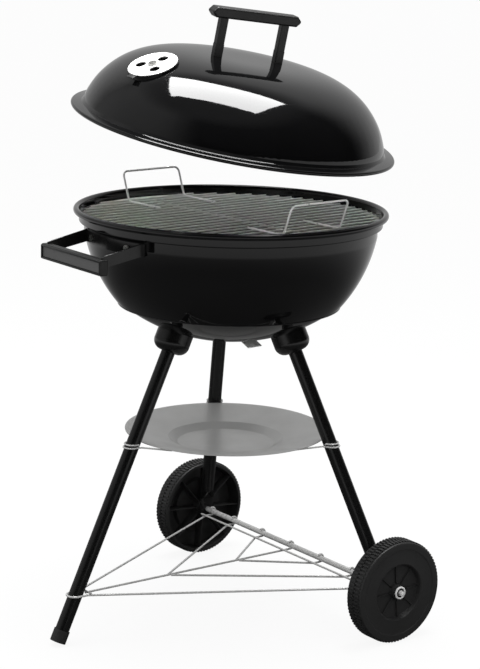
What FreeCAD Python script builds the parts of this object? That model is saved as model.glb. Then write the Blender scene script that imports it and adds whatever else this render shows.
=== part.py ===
import FreeCAD, Part
import math
import os
from FreeCAD import Rotation, Vector

# Kettle charcoal grill on three legs, in millimetres, +Z up.
# Every piece is built about the bowl's axis with the floor at z = 0. The last step moves the whole grill
# along Y, so that the origin lies on the floor under the middle of its outline.
# Front is -Y: the front leg with its foot and the side handle point that way, and the axle lies along X.

# ---------------------------------------------------------------- clearances
SEAT_GAP = 0.3           # between a loose piece and what it rests on
RUNNING_GAP = 0.05       # radial, round a shaft that turns
SLIP_GAP = 0.1           # radial, round a piece pushed or screwed in place
WELD = 0.6               # how far welded wires sink into each other
CUT_MARGIN = 2.0         # how far a cutter reaches past each face
BLIND_SPARE = 1.0        # how much deeper a blind hole is than its screw
UPRIGHT = 0.9            # an edge is upright where its direction's Z is above this

# ---------------------------------------------------------------- bowl
SHEET = 1.0              # enamelled sheet steel
RIM_R = 225.0            # outside of the rolled rim
RIM_Z = 602.0            # top of the rolled rim
ROLL_R = 4.5
ROLL_TURN = 310.0        # how far the sheet curls round in the roll, degrees
LEDGE_Z = 582.0          # ledge that carries the cooking grate
WALL_R = 209.6           # wall just under the ledge
WALL_LOW_Z = 568.0       # the wall is upright down to here
BELLY_Z = 512.0
BELLY_R = 191.5
STEP_Z = 463.0           # step that carries the charcoal grate
STEP_OUT_R = 159.0
STEP_IN_R = 154.0
HAUNCH_Z = 436.5
HAUNCH_R = 111.0
FLOOR_Z = 418.0          # flat middle of the bowl
FLOOR_R = 55.0
BOWL_VENTS = 3
BOWL_VENT_R = 10.0
BOWL_VENT_PITCH_R = 24.0

# ---------------------------------------------------------------- bowl damper
DAMPER_SHEET = 1.2
BOWL_DAMPER_R = 40.0
TAB_W = 26.0
TAB_LENGTH = 18.0
TAB_DROP = 8.0
TAB_LAP = 4.0            # how far a tab's strip overlaps its disc
TAB_AZIMUTH = 5.0
RIVET_R = 3.0
RIVET_HEAD_R = 6.0
RIVET_HEAD_H = 2.0

# ---------------------------------------------------------------- lid
# about its own axis, z = 0 at the lip's middle
LID_R = 232.6            # outside of the rolled lip
LIP_ROLL_R = 2.8
LIP_START = 90.0         # where the lip's roll starts, degrees from outward
LIP_END = -160.0         # where it ends
DOME_R = 215.6
DOME_FOOT_Z = 7.6        # where the dome meets the flange
DOME_RISE = 94.5
DOME_POWER_R = 3.96      # the dome is a superellipse: (r/R)^a + (z/H)^b = 1
DOME_POWER_Z = 1.43
DOME_POINTS = 8
DOME_FLAT_R = 20.0       # the crown is flat out to here
DOME_END = 0.97          # share of the superellipse that is used, before the flange's corner
DOME_END_SLOPE = 0.12    # outward run of the dome's foot for each unit down
FLANGE_IN_Z = 5.0
FLANGE_IN_R = 218.5
LID_LIFT = 114.6         # how far the lid hangs above its seat
LID_TILT = 10.12         # degrees
LID_LOW_AZIMUTH = 32.4   # side towards which the lid slopes down
LID_LAP = 3.3            # from the lip's middle up to the bowl's rim, with the lid on
LID_SEAT_Z = RIM_Z + SEAT_GAP - LID_LAP
LID_CUT = 30.0           # length of the cutters through the lid

# ---------------------------------------------------------------- lid damper
LID_DAMPER_R = 35.0
LID_DAMPER_AT_R = 155.0
LID_DAMPER_AZIMUTH = 269.0
LID_DAMPER_PAD_R = 36.0
LID_DAMPER_PAD_DEPTH = 8.0
LID_DAMPER_PAD_RAISE = 0.6
LID_RIVET_DEPTH = SHEET + 0.8  # from the pad's face to the rivet's inner head
LID_VENTS = 3
LID_VENT_R = 7.5
LID_VENT_PITCH_R = 18.0
LID_VENT_TURN = 94.0
LID_TAB_L = 8.0
LID_TAB_W = 14.0
LID_TAB_TURN = 277.0

# ---------------------------------------------------------------- lid handle
LID_HANDLE_AZIMUTH = 80.0
POST_SPACING = 96.0
POST_ALONG = 12.0
POST_ACROSS = 11.0
POST_TOP_Z = 156.0
POST_EDGE_R = 1.5
STANDOFF_TOP_Z = 119.0
STANDOFF_ALONG = 13.0
STANDOFF_ACROSS = 12.0
STANDOFF_EDGE_R = 2.0
STANDOFF_SINK = 10.0     # how far below the dome's top its blank starts
GRIP_LENGTH = 141.0
GRIP_POINT = 7.0
GRIP_THICK = 15.0
GRIP_EDGE_R = 3.0
GRIP_W = 20.0
HANDLE_SCREW_R = 2.5
HANDLE_SCREW_HEAD_R = 5.0
HANDLE_SCREW_HEAD_H = 3.0
HANDLE_SCREW_BITE = 16.0
HANDLE_HEAD_GAP = 0.6    # under the sloping sheet, at a screw head's middle

# ---------------------------------------------------------------- side handle
BAND_T = 2.0
BAND_H = 17.0
BAND_Z = 560.0           # lower edge of the band
BAND_HALF_ANGLE = 20.5
ARM_X = 68.0
ARM_T = 2.5
ARM_DROP = 11.0
ARM_TAPER = 2.0          # an arm's end is this much lower than its root
ARM_SLOT_PLAY = 1.5
SIDE_GRIP_OUT_Y = 270.0
SIDE_GRIP_T = 12.0
SIDE_GRIP_L = 152.0
SIDE_GRIP_H = 22.0
SIDE_GRIP_Z = 540.0
SIDE_GRIP_EDGE_R = 2.0
SIDE_PANEL_BORDER = 4.0
SIDE_PANEL_T = 2.0
SIDE_RECESS = 3.0
SIDE_SCREW_R = 2.5
SIDE_SCREW_HEAD_R = 4.5
SIDE_SCREW_ANGLE = 12.0
SIDE_SCREW_HEAD_H = 2.5
SIDE_SCREW_TIP = 8.0     # inside the bowl's wall
SIDE_NUT_H = 3.0
SIDE_NUT_STAND = 2.6     # off the curved wall, at its middle

# ---------------------------------------------------------------- grates
RING_WIRE_R = 2.5
GRATE_ROD_R = 1.5
GRATE_PITCH = 17.6
GRATE_TURN = 4.0         # how far the cooking grate is turned on its ledge
GRATE_RING_R = 212.6
BAIL_W = 104.0
BAIL_H = 42.0
BAIL_LEAN = 16.0         # outward at the top
BAIL_X = 171.0
BAIL_FOOT = 74.0
BAIL_BEND = 8.0
ROD_EDGE_SHARE = 0.25    # share of the pitch kept free between the last rod and the ring's edge
COAL_ROD_R = 2.0
COAL_PITCH = 21.0
COAL_RING_R = 154.3

# ---------------------------------------------------------------- legs and feet
LEG_R = 10.0
LEG_WALL = 1.2
LEG_REACH = 287.9        # distance of the leg's axis from the bowl's axis at the floor
LEG_ANGLE = 24.4         # from upright
FRONT_AZIMUTH = 270.0
RIGHT_AZIMUTH = 30.0
LEFT_AZIMUTH = 150.0
FOOT_R = 11.4
FOOT_L = 18.0
FOOT_END = 4.0
FLAT_HALF_T = 2.6        # flattened lower end of a wheel leg
FLAT_HALF_W = 13.0
FLAT_START_Z = 114.0
FLAT_FULL_Z = 93.0
FLAT_SET_IN = 1.8        # the flattened end stands this much inside the leg's own line

# ---------------------------------------------------------------- leg sockets
SOCKET_R = 26.0
SOCKET_LOW_R = 13.0
SOCKET_H = 52.0
SOCKET_ROUND_H = 16.0
SOCKET_DROP = 28.5       # from the bowl down to the socket's lower end, along the leg
SOCKET_ROOF = 4.0
SOCKET_BOLT_R = 3.0
SOCKET_HEAD_R = 6.5
SOCKET_HEAD_H = 3.0
SOCKET_HEAD_STAND = 1.0  # off the sloping sheet, at its middle
SOCKET_BOLT_TIP = 3.0    # past the nut
SOCKET_HOLE_REACH = 4.0  # of the hole's cutter, either way from the bowl's face
SOCKET_NUT_R = 5.6
SOCKET_NUT_H = 4.0

# ---------------------------------------------------------------- axle and wheels
WHEEL_R = 75.0
WHEEL_W = 29.3
WHEEL_FROM_LEG = 4.3     # from the leg's line to the wheel's inner face
AXLE_R = 4.0
AXLE_OVERHANG = 6.0
HUB_R = 12.0
WHEEL_BAND = 9.0
WHEEL_WEB = 3.0
WEB_SET_IN = 1.5         # from the tread's outer edge to the web's face
DISH_R = 41.0
DISH_DEPTH = 7.0
WHEEL_SLANT = 2.0        # run of the dish's wall and of the web's edge
HUB_BEVEL = 1.0
WHEEL_RIBS = 8
RIB_T = 2.5
RIB_SET_IN = 2.0         # from the wheel's inner face
RIB_LAP = 1.0            # into the hub, the tread and the web
TREAD_GROOVE = 1.5
TREAD_GROOVE_HALF = 1.2
TREAD_BEVEL = 2.5
PUSH_NUT_R = 10.0
PUSH_NUT_T = 1.4
SPACER_R = 8.0

# ---------------------------------------------------------------- ash pan and its clips
PAN_R = 147.4
PAN_Z = 275.4
PAN_LIP = 4.0
PAN_SLOPE_R = 84.0
PAN_SLOPE_Z = 263.0
PAN_WELL_R = 70.0
PAN_WELL_Z = 255.0
CLIP_WIRE_R = 1.2
CLIP_TAIL_ANGLE = 20.0   # where a tail ends, seen from the bowl's axis
CLIP_TAIL_R = 136.0
CLIP_PITCH = 4.5
CLIP_SEAT_GAP = 0.45     # between a tail and the sloping pan
CLIP_BEND = 5.0
CLIP_SHORT_BEND = 1.6
CLIP_DROP_IN = 8.0       # how far behind the leg's front the upper turn drops to the lower one

# ---------------------------------------------------------------- bottom rack
RACK_WIRE_R = 1.5
RACK_OUTER_X = 203.0
RACK_BIG_V_X = 145.0
RACK_BIG_V_Y = -95.0
RACK_SMALL_V_X = 72.0
RACK_SMALL_V_Y = 28.0
RACK_BACK_BEFORE_AXLE = 12.0
RACK_CORNER_BEND = 6.0
RACK_HOOK_TIP = 60.0     # how far the hook's tip stands above the axle's front, degrees
RACK_STOP_OVERHANG = 4.0

UP = Vector(0, 0, 1)
ORIGIN = Vector(0, 0, 0)
LEG_TAN = math.tan(math.radians(LEG_ANGLE))
LEG_SIN = math.sin(math.radians(LEG_ANGLE))
LEG_COS = math.cos(math.radians(LEG_ANGLE))
FRONT_EDGE = LEG_REACH - FOOT_R * LEG_SIN * LEG_TAN + FOOT_R * LEG_COS
SHIFT = Vector(0, (FRONT_EDGE - LID_R) / 2, 0)


# ---------------------------------------------------------------- shared helpers
def polar(radius, azimuth, z=0.0):
    """Point at a radius and an azimuth in degrees about the bowl's axis."""
    turn = math.radians(azimuth)
    return Vector(radius * math.cos(turn), radius * math.sin(turn), z)


def turned(shape, azimuth):
    """Copy of a shape turned about the bowl's axis."""
    copy = shape.copy()
    copy.rotate(ORIGIN, UP, azimuth)
    return copy


def along(shape, base, direction):
    """Copy of a shape, made along +Z from the origin, set at base with its +Z along direction."""
    copy = shape.copy()
    copy.Placement = FreeCAD.Placement(base, Rotation(UP, direction)).multiply(copy.Placement)
    return copy


def line(a, b):
    """Straight edge."""
    return Part.LineSegment(a, b).toShape()


def arc(a, middle, b):
    """Circular edge through three points."""
    return Part.Arc(a, middle, b).toShape()


def end_point(edge):
    """Last point of an edge."""
    return edge.valueAt(edge.LastParameter)


def rz(radius, z):
    """Point of a profile to be turned about Z."""
    return Vector(radius, 0, z)


def spin(edges):
    """Solid of revolution about Z of a closed profile."""
    return Part.Face(Part.Wire(edges)).revolve(ORIGIN, UP, 360)


def spin_outline(points):
    """Solid of revolution about Z of a closed outline of straight sides."""
    return Part.Face(Part.makePolygon(points + [points[0]])).revolve(ORIGIN, UP, 360)


def spin_sheet(edges, thickness):
    """Turned sheet: an open profile given a thickness to its left and revolved about Z."""
    return Part.Wire(edges).makeOffset2D(thickness, 0, True, True).revolve(ORIGIN, UP, 360)


def fused(shapes):
    """One solid from pieces that overlap."""
    return shapes[0].multiFuse(shapes[1:]).removeSplitter()


def bent_path(points, bend_r):
    """Wire of straight runs joined by tangent arcs of one radius."""
    edges = []
    start = points[0]
    for before, corner, after in zip(points, points[1:], points[2:]):
        back = (before - corner).normalize()
        ahead = (after - corner).normalize()
        half = back.getAngle(ahead) / 2
        bisector = (back + ahead).normalize()
        trim = bend_r / math.tan(half)
        centre = corner + bisector * (bend_r / math.sin(half))
        arc_start = corner + back * trim
        edges.append(line(start, arc_start))
        edges.append(arc(arc_start, centre - bisector * bend_r, corner + ahead * trim))
        start = corner + ahead * trim
    edges.append(line(start, points[-1]))
    return edges


def swept(edges, radius):
    """Round wire along a path of edges."""
    first = edges[0]
    begin = first.valueAt(first.FirstParameter)
    direction = first.tangentAt(first.FirstParameter)
    section = Part.Wire(Part.Circle(begin, direction, radius).toShape())
    return Part.Wire(edges).makePipeShell([section], True, False)


def rod(a, b, radius):
    """Straight round bar."""
    return Part.makeCylinder(radius, (b - a).Length, a, b - a)


def ring(radius, wire_r, z):
    """Ring of round wire lying flat."""
    return Part.makeTorus(radius, wire_r, Vector(0, 0, z), UP)


def rounded_box(length, width, height, edge_r):
    """Box centred in X and Y, standing on z = 0, with every edge rounded."""
    box = Part.makeBox(length, width, height, Vector(-length / 2, -width / 2, 0))
    return box.makeFillet(edge_r, box.Edges)


def leg_point(azimuth, z):
    """Point on a leg's axis at a height."""
    return polar(LEG_REACH - LEG_TAN * z, azimuth, z)


def leg_up(azimuth):
    """Unit vector up along a leg."""
    return polar(-LEG_SIN, azimuth, LEG_COS)


# ---------------------------------------------------------------- bowl
def collar_radius():
    """Outer radius of the upright collar between the ledge and the rolled rim."""
    return RIM_R - 2 * ROLL_R + SHEET


def bowl_arcs():
    """Three points on each of the bowl's two curved runs: its haunch and its belly."""
    haunch = (rz(FLOOR_R, FLOOR_Z), rz(HAUNCH_R, HAUNCH_Z), rz(STEP_IN_R, STEP_Z))
    belly = (rz(STEP_OUT_R, STEP_Z), rz(BELLY_R, BELLY_Z), rz(WALL_R, WALL_LOW_Z))
    return haunch, belly


def bowl_outside():
    """Edges of the bowl's outer face, from the middle of its floor to the foot of the rim."""
    haunch, belly = bowl_arcs()
    collar_r = collar_radius()
    return [
        line(rz(0, FLOOR_Z), haunch[0]),
        arc(*haunch),
        line(haunch[2], belly[0]),
        arc(*belly),
        line(belly[2], rz(WALL_R, LEDGE_Z)),
        line(rz(WALL_R, LEDGE_Z), rz(collar_r, LEDGE_Z)),
        line(rz(collar_r, LEDGE_Z), rz(collar_r, RIM_Z - ROLL_R)),
    ]


def inner_arc(points, low_z, high_z):
    """Arc one sheet inside an arc of the bowl's outer face, between two heights."""
    outer = arc(*points).Curve
    centre = outer.Center
    radius = outer.Radius - SHEET
    middle = points[1] + (centre - points[1]).normalize() * SHEET
    ends = [rz(centre.x + math.sqrt(radius ** 2 - (z - centre.z) ** 2), z) for z in (low_z, high_z)]
    return ends[0], arc(ends[0], middle, ends[1]), ends[1]


def bowl_inside():
    """Edges of the bowl's inner face, from the middle of its floor to the foot of the rim."""
    haunch, belly = bowl_arcs()
    haunch_low, haunch_edge, haunch_high = inner_arc(haunch, FLOOR_Z + SHEET, STEP_Z + SHEET)
    belly_low, belly_edge, belly_high = inner_arc(belly, STEP_Z + SHEET, WALL_LOW_Z)
    wall_top = rz(WALL_R - SHEET, LEDGE_Z + SHEET)
    collar_foot = rz(collar_radius() - SHEET, LEDGE_Z + SHEET)
    return [
        line(rz(0, FLOOR_Z + SHEET), haunch_low),
        haunch_edge,
        line(haunch_high, belly_low),
        belly_edge,
        line(belly_high, wall_top),
        line(wall_top, collar_foot),
        line(collar_foot, rz(collar_radius() - SHEET, RIM_Z - ROLL_R)),
    ]


def bowl_body():
    """Everything inside the bowl's outer face, up to the rim, as one solid."""
    collar_r = collar_radius()
    top = RIM_Z - ROLL_R
    return spin(bowl_outside() + [line(rz(collar_r, top), rz(0, top)), line(rz(0, top), rz(0, FLOOR_Z))])


def rim_roll(radius):
    """Edge of one face of the rolled rim, from the collar round to the roll's end."""
    centre = rz(RIM_R - ROLL_R, RIM_Z - ROLL_R)
    turns = [math.radians(180 - share * ROLL_TURN) for share in (0, 0.5, 1)]
    return arc(*(centre + rz(math.cos(turn), math.sin(turn)) * radius for turn in turns))


def vent_cutters(count, radius, pitch_r, height, z):
    """Round cutters on a circle about Z."""
    return [
        Part.makeCylinder(radius, height, polar(pitch_r, 360 / count * i, z))
        for i in range(count)
    ]


def side_screw_axis(side):
    """Base point on the bowl's axis and direction of one screw of the side handle."""
    return Vector(0, 0, BAND_Z + BAND_H / 2), polar(1, FRONT_AZIMUTH + side * SIDE_SCREW_ANGLE)


def make_bowl():
    """Bowl of enamelled sheet with its ledges, rolled rim, vents and screw holes."""
    outer = bowl_outside() + [rim_roll(ROLL_R - SHEET)]
    inner = bowl_inside() + [rim_roll(ROLL_R)]
    rim_end = line(end_point(outer[-1]), end_point(inner[-1]))
    axis_end = line(rz(0, FLOOR_Z + SHEET), rz(0, FLOOR_Z))
    shell = spin(outer + [rim_end] + inner[::-1] + [axis_end])
    height = SHEET + 2 * CUT_MARGIN
    low = FLOOR_Z - CUT_MARGIN
    cutters = vent_cutters(BOWL_VENTS, BOWL_VENT_R, BOWL_VENT_PITCH_R, height, low)
    cutters.append(Part.makeCylinder(RIVET_R + RUNNING_GAP, height, Vector(0, 0, low)))
    bolt_hole = Part.makeCylinder(
        SOCKET_BOLT_R + SLIP_GAP, 2 * SOCKET_HOLE_REACH, Vector(0, 0, -SOCKET_HOLE_REACH))
    for azimuth in (FRONT_AZIMUTH, RIGHT_AZIMUTH, LEFT_AZIMUTH):
        cutters.append(along(bolt_hole, leg_seat(azimuth), leg_up(azimuth)))
    for side in (-1, 1):
        base, direction = side_screw_axis(side)
        cutters.append(Part.makeCylinder(SIDE_SCREW_R + SLIP_GAP, RIM_R, base, direction))
    return shell.cut(cutters)


def make_bowl_damper():
    """Turning disc under the bowl's floor, with vents and a tab to push."""
    top = FLOOR_Z - SEAT_GAP
    disc = Part.makeCylinder(BOWL_DAMPER_R, DAMPER_SHEET, Vector(0, 0, top - DAMPER_SHEET))
    inner = BOWL_DAMPER_R - TAB_LAP
    outer = BOWL_DAMPER_R + TAB_LENGTH
    side = [
        Vector(inner, -TAB_W / 2, top),
        Vector(BOWL_DAMPER_R, -TAB_W / 2, top),
        Vector(outer, -TAB_W / 2, top - TAB_DROP),
        Vector(outer, -TAB_W / 2, top - TAB_DROP - DAMPER_SHEET),
        Vector(BOWL_DAMPER_R, -TAB_W / 2, top - DAMPER_SHEET),
        Vector(inner, -TAB_W / 2, top - DAMPER_SHEET),
    ]
    tab = Part.Face(Part.makePolygon(side + [side[0]])).extrude(Vector(0, TAB_W, 0))
    plate = fused([disc, turned(tab, TAB_AZIMUTH)])
    depth = DAMPER_SHEET + 2 * CUT_MARGIN
    low = top - DAMPER_SHEET - CUT_MARGIN
    cutters = vent_cutters(BOWL_VENTS, BOWL_VENT_R, BOWL_VENT_PITCH_R, depth, low)
    cutters.append(Part.makeCylinder(RIVET_R + RUNNING_GAP, depth, Vector(0, 0, low)))
    return plate.cut(cutters)


def rivet(grip):
    """Rivet along +Z: its lower head's top face at z = 0 and its upper head's lower face at z = grip."""
    return fused([
        Part.makeCylinder(RIVET_R, grip + RIVET_HEAD_H, Vector(0, 0, -RIVET_HEAD_H / 2)),
        Part.makeCylinder(RIVET_HEAD_R, RIVET_HEAD_H, Vector(0, 0, -RIVET_HEAD_H)),
        Part.makeCylinder(RIVET_HEAD_R, RIVET_HEAD_H, Vector(0, 0, grip)),
    ])


def make_bowl_damper_rivet():
    """Rivet that the bowl's damper turns on."""
    low = FLOOR_Z - DAMPER_SHEET - 2 * SEAT_GAP
    high = FLOOR_Z + SHEET + SLIP_GAP
    return along(rivet(high - low), Vector(0, 0, low), UP)


# ---------------------------------------------------------------- leg sockets
def leg_seat(azimuth):
    """Point where a leg's axis meets the bowl's outer face."""
    axis = line(leg_point(azimuth, FLOOR_Z - SOCKET_H), leg_point(azimuth, STEP_Z))
    inside = axis.common(bowl_body())
    return min((vertex.Point for vertex in inside.Vertexes), key=lambda point: point.z)


def make_socket(azimuth):
    """Round-bottomed cup under the bowl that holds a leg's upper end."""
    round_z = SOCKET_ROUND_H
    turn = math.radians(45)
    swell = SOCKET_R - SOCKET_LOW_R
    middle = rz(SOCKET_LOW_R + swell * math.sin(turn), round_z - round_z * math.cos(turn))
    cup = spin([
        line(rz(0, 0), rz(SOCKET_LOW_R, 0)),
        arc(rz(SOCKET_LOW_R, 0), middle, rz(SOCKET_R, round_z)),
        line(rz(SOCKET_R, round_z), rz(SOCKET_R, SOCKET_H)),
        line(rz(SOCKET_R, SOCKET_H), rz(0, SOCKET_H)),
        line(rz(0, SOCKET_H), rz(0, 0)),
    ])
    roof_z = SOCKET_DROP - SOCKET_ROOF
    bore = Part.makeCylinder(LEG_R + SLIP_GAP, roof_z + CUT_MARGIN, Vector(0, 0, -CUT_MARGIN))
    bolt_hole = Part.makeCylinder(SOCKET_BOLT_R + SLIP_GAP, SOCKET_H)
    base = leg_seat(azimuth) - leg_up(azimuth) * SOCKET_DROP
    socket = along(cup.cut([bore, bolt_hole]), base, leg_up(azimuth))
    clear_bowl = bowl_body()
    clear_bowl.translate(Vector(0, 0, -SLIP_GAP))
    return min(socket.cut(clear_bowl).Solids, key=lambda solid: solid.CenterOfMass.z)


def make_socket_bolt(azimuth):
    """Round-headed bolt from inside the bowl down into the leg's upper end."""
    head_z = SHEET + SLIP_GAP + SOCKET_HEAD_STAND
    tip = SOCKET_ROOF + SOCKET_NUT_H + SOCKET_BOLT_TIP
    bolt = fused([
        Part.makeCylinder(SOCKET_BOLT_R, tip + head_z + SOCKET_HEAD_H / 2, Vector(0, 0, -tip)),
        Part.makeCylinder(SOCKET_HEAD_R, SOCKET_HEAD_H, Vector(0, 0, head_z)),
    ])
    return along(bolt, leg_seat(azimuth), leg_up(azimuth))


def make_socket_nut(azimuth):
    """Hexagonal nut under the socket's roof, inside the leg's upper end."""
    corners = [polar(SOCKET_NUT_R, 60 * i) for i in range(6)]
    prism = Part.Face(Part.makePolygon(corners + [corners[0]])).extrude(Vector(0, 0, SOCKET_NUT_H))
    nut = prism.cut(Part.makeCylinder(SOCKET_BOLT_R + RUNNING_GAP, SOCKET_NUT_H))
    top = SOCKET_ROOF + SLIP_GAP
    return along(nut, leg_seat(azimuth) - leg_up(azimuth) * (top + SOCKET_NUT_H), leg_up(azimuth))


# ---------------------------------------------------------------- legs
def leg_top(azimuth):
    """Upper end of a leg, under its socket's roof."""
    return leg_seat(azimuth) - leg_up(azimuth) * (SOCKET_ROOF + SLIP_GAP)


def tube(a, b):
    """Leg tube between two points."""
    length = (b - a).Length
    hollow = Part.makeCylinder(LEG_R, length).cut(Part.makeCylinder(LEG_R - LEG_WALL, length))
    return along(hollow, a, b - a)


def foot_end():
    """Middle of the front foot's end face: its inner edge touches the floor."""
    return leg_point(FRONT_AZIMUTH, FOOT_R * LEG_SIN)


def make_front_leg():
    """Straight tube from the foot to the front socket."""
    low = foot_end() + leg_up(FRONT_AZIMUTH) * (FOOT_END + SLIP_GAP)
    return tube(low, leg_top(FRONT_AZIMUTH))


def make_foot():
    """Black cap pushed over the front leg's lower end."""
    cap = Part.makeCylinder(FOOT_R, FOOT_L).cut(
        Part.makeCylinder(LEG_R + SLIP_GAP, FOOT_L, Vector(0, 0, FOOT_END)))
    return along(cap, foot_end(), leg_up(FRONT_AZIMUTH))


def oval(centre, long_axis, short_axis):
    """Closed elliptical wire."""
    return Part.Wire(Part.Ellipse(centre + long_axis, centre + short_axis, centre).toShape())


def flat_centre(azimuth, z):
    """Middle of a wheel leg's flattened end at a height."""
    axle = leg_point(azimuth, WHEEL_R)
    inward = -math.copysign(FLAT_SET_IN, axle.x)
    return Vector(axle.x + inward, axle.y, z)


def make_wheel_leg(azimuth):
    """Tube that is flattened at its lower end, where the axle goes through it."""
    start = leg_point(azimuth, FLAT_START_Z)
    out = Vector(math.copysign(1, start.x), 0, 0)
    across = leg_up(azimuth).cross(out).normalize()
    circle = Part.Circle(start, leg_up(azimuth), LEG_R)
    circle.XAxis = across
    round_section = Part.Wire(circle.toShape())
    full = flat_centre(azimuth, FLAT_FULL_Z)
    sign = 1 if across.y > 0 else -1
    flat_section = oval(full, Vector(0, sign * FLAT_HALF_W, 0), out * FLAT_HALF_T)
    neck = Part.makeLoft([round_section, flat_section], True)
    tongue = Part.Face(flat_section).extrude(Vector(0, 0, WHEEL_R - FLAT_HALF_W - FLAT_FULL_Z))
    axle = flat_centre(azimuth, WHEEL_R)
    reach = Vector(2 * FLAT_HALF_T, 0, 0)
    rounding = Part.makeCylinder(FLAT_HALF_W, 4 * FLAT_HALF_T, axle - reach, reach)
    block = Part.makeBox(
        4 * FLAT_HALF_T, 2 * FLAT_HALF_W, FLAT_FULL_Z - WHEEL_R, axle - reach - Vector(0, FLAT_HALF_W, 0))
    tongue = tongue.common(rounding.fuse(block))
    hole = Part.makeCylinder(AXLE_R + RUNNING_GAP, 4 * FLAT_HALF_T, axle - reach, reach)
    return fused([tube(start, leg_top(azimuth)), neck, tongue]).cut(hole)


# ---------------------------------------------------------------- axle and wheels
def wheel_inner_x():
    """Distance from the middle plane to a wheel's inner face."""
    return leg_point(RIGHT_AZIMUTH, WHEEL_R).x + WHEEL_FROM_LEG


def axle_y():
    """Distance of the axle behind the bowl's axis."""
    return leg_point(RIGHT_AZIMUTH, WHEEL_R).y


def on_axle(shape, side, x):
    """Shape made along +Z, set on the axle at a distance from the middle plane, pointing outwards."""
    return along(shape, Vector(side * x, axle_y(), WHEEL_R), Vector(side, 0, 0))


def make_axle():
    """Plain steel rod through both legs and both wheels."""
    half = wheel_inner_x() + WHEEL_W + AXLE_OVERHANG
    return rod(Vector(-half, axle_y(), WHEEL_R), Vector(half, axle_y(), WHEEL_R), AXLE_R)


def washer(outer_r, thickness):
    """Flat ring that fits the axle, along +Z."""
    return Part.makeCylinder(outer_r, thickness).cut(Part.makeCylinder(AXLE_R + RUNNING_GAP, thickness))


def make_spacers():
    """Bushes between the legs and the wheels."""
    leg_face = leg_point(RIGHT_AZIMUTH, WHEEL_R).x - FLAT_SET_IN + FLAT_HALF_T
    start = leg_face + SLIP_GAP
    length = wheel_inner_x() - SEAT_GAP - start
    return [on_axle(washer(SPACER_R, length), side, start) for side in (-1, 1)]


def make_push_nuts():
    """Spring washers pushed on the axle's ends, which keep the wheels on."""
    start = wheel_inner_x() + WHEEL_W + SEAT_GAP
    return [on_axle(washer(PUSH_NUT_R, PUSH_NUT_T), side, start) for side in (-1, 1)]


def wheel_body():
    """Turned part of a wheel: tread band, web with a round dish outside, and hub."""
    web_out = WHEEL_W - WEB_SET_IN
    web_in = web_out - WHEEL_WEB
    dish_out = web_out - DISH_DEPTH
    dish_in = dish_out - WHEEL_WEB
    band_r = WHEEL_R - WHEEL_BAND
    bore = AXLE_R + RUNNING_GAP
    groove_low = WHEEL_W / 2 - TREAD_GROOVE_HALF
    groove_high = WHEEL_W / 2 + TREAD_GROOVE_HALF
    return spin_outline([
        rz(bore, 0), rz(HUB_R, 0), rz(HUB_R, dish_in), rz(DISH_R + WHEEL_WEB, dish_in),
        rz(DISH_R + WHEEL_WEB, web_in), rz(band_r, web_in), rz(band_r, 0), rz(WHEEL_R - TREAD_BEVEL, 0),
        rz(WHEEL_R, TREAD_BEVEL), rz(WHEEL_R, groove_low), rz(WHEEL_R - TREAD_GROOVE, groove_low),
        rz(WHEEL_R - TREAD_GROOVE, groove_high), rz(WHEEL_R, groove_high),
        rz(WHEEL_R, WHEEL_W - TREAD_BEVEL), rz(WHEEL_R - TREAD_BEVEL, WHEEL_W), rz(band_r, WHEEL_W),
        rz(band_r - WHEEL_SLANT, web_out), rz(DISH_R, web_out), rz(DISH_R - WHEEL_SLANT, dish_out),
        rz(HUB_R, dish_out), rz(HUB_R - HUB_BEVEL, WHEEL_W), rz(bore, WHEEL_W),
    ])


def make_wheel(side):
    """Moulded wheel with ribs on its inner side and shallow ribs in its dish."""
    web_out = WHEEL_W - WEB_SET_IN
    rib_top = web_out - WHEEL_WEB + RIB_LAP
    start_r = HUB_R - RIB_LAP
    end_r = WHEEL_R - WHEEL_BAND + RIB_LAP
    rib = Part.makeBox(end_r - start_r, RIB_T, rib_top - RIB_SET_IN, Vector(start_r, -RIB_T / 2, RIB_SET_IN))
    dish_floor = web_out - DISH_DEPTH
    hub_rib = Part.makeBox(
        DISH_R - HUB_R, RIB_T / 2, DISH_DEPTH - WHEEL_SLANT,
        Vector(start_r, -RIB_T / 4, dish_floor - RIB_LAP / 2))
    ribs = []
    for i in range(WHEEL_RIBS):
        ribs.append(turned(rib, 360 / WHEEL_RIBS * i))
        ribs.append(turned(hub_rib, 360 / WHEEL_RIBS * i))
    return on_axle(fused([wheel_body()] + ribs), side, wheel_inner_x())


# ---------------------------------------------------------------- ash pan
def make_ash_pan():
    """Spun aluminium dish between the legs, with a well in its middle."""
    return spin_sheet([
        line(rz(0, PAN_WELL_Z), rz(PAN_WELL_R, PAN_WELL_Z)),
        line(rz(PAN_WELL_R, PAN_WELL_Z), rz(PAN_SLOPE_R, PAN_SLOPE_Z)),
        line(rz(PAN_SLOPE_R, PAN_SLOPE_Z), rz(PAN_R - PAN_LIP, PAN_Z)),
        line(rz(PAN_R - PAN_LIP, PAN_Z), rz(PAN_R, PAN_Z)),
    ], SHEET)


def pan_underside(radius):
    """Height of the ash pan's lower face on its slope."""
    share = (radius - PAN_SLOPE_R) / (PAN_R - PAN_LIP - PAN_SLOPE_R)
    return PAN_SLOPE_Z + share * (PAN_Z - PAN_SLOPE_Z)


def clip_loop(corner_x, tail_ends, back_x, half_width, z, bend):
    """Path of a clip wire: a tail, half a turn round the back of the leg, and a tail."""
    turn_x = back_x - half_width
    starts = [Vector(turn_x, side * half_width, z) for side in (-1, 1)]
    corners = [Vector(corner_x, side * half_width, z) for side in (-1, 1)]
    first = bent_path([tail_ends[0], corners[0], starts[0]], bend)
    last = bent_path([starts[1], corners[1], tail_ends[1]], bend)
    return first + [arc(starts[0], Vector(back_x, 0, z), starts[1])] + last


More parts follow.
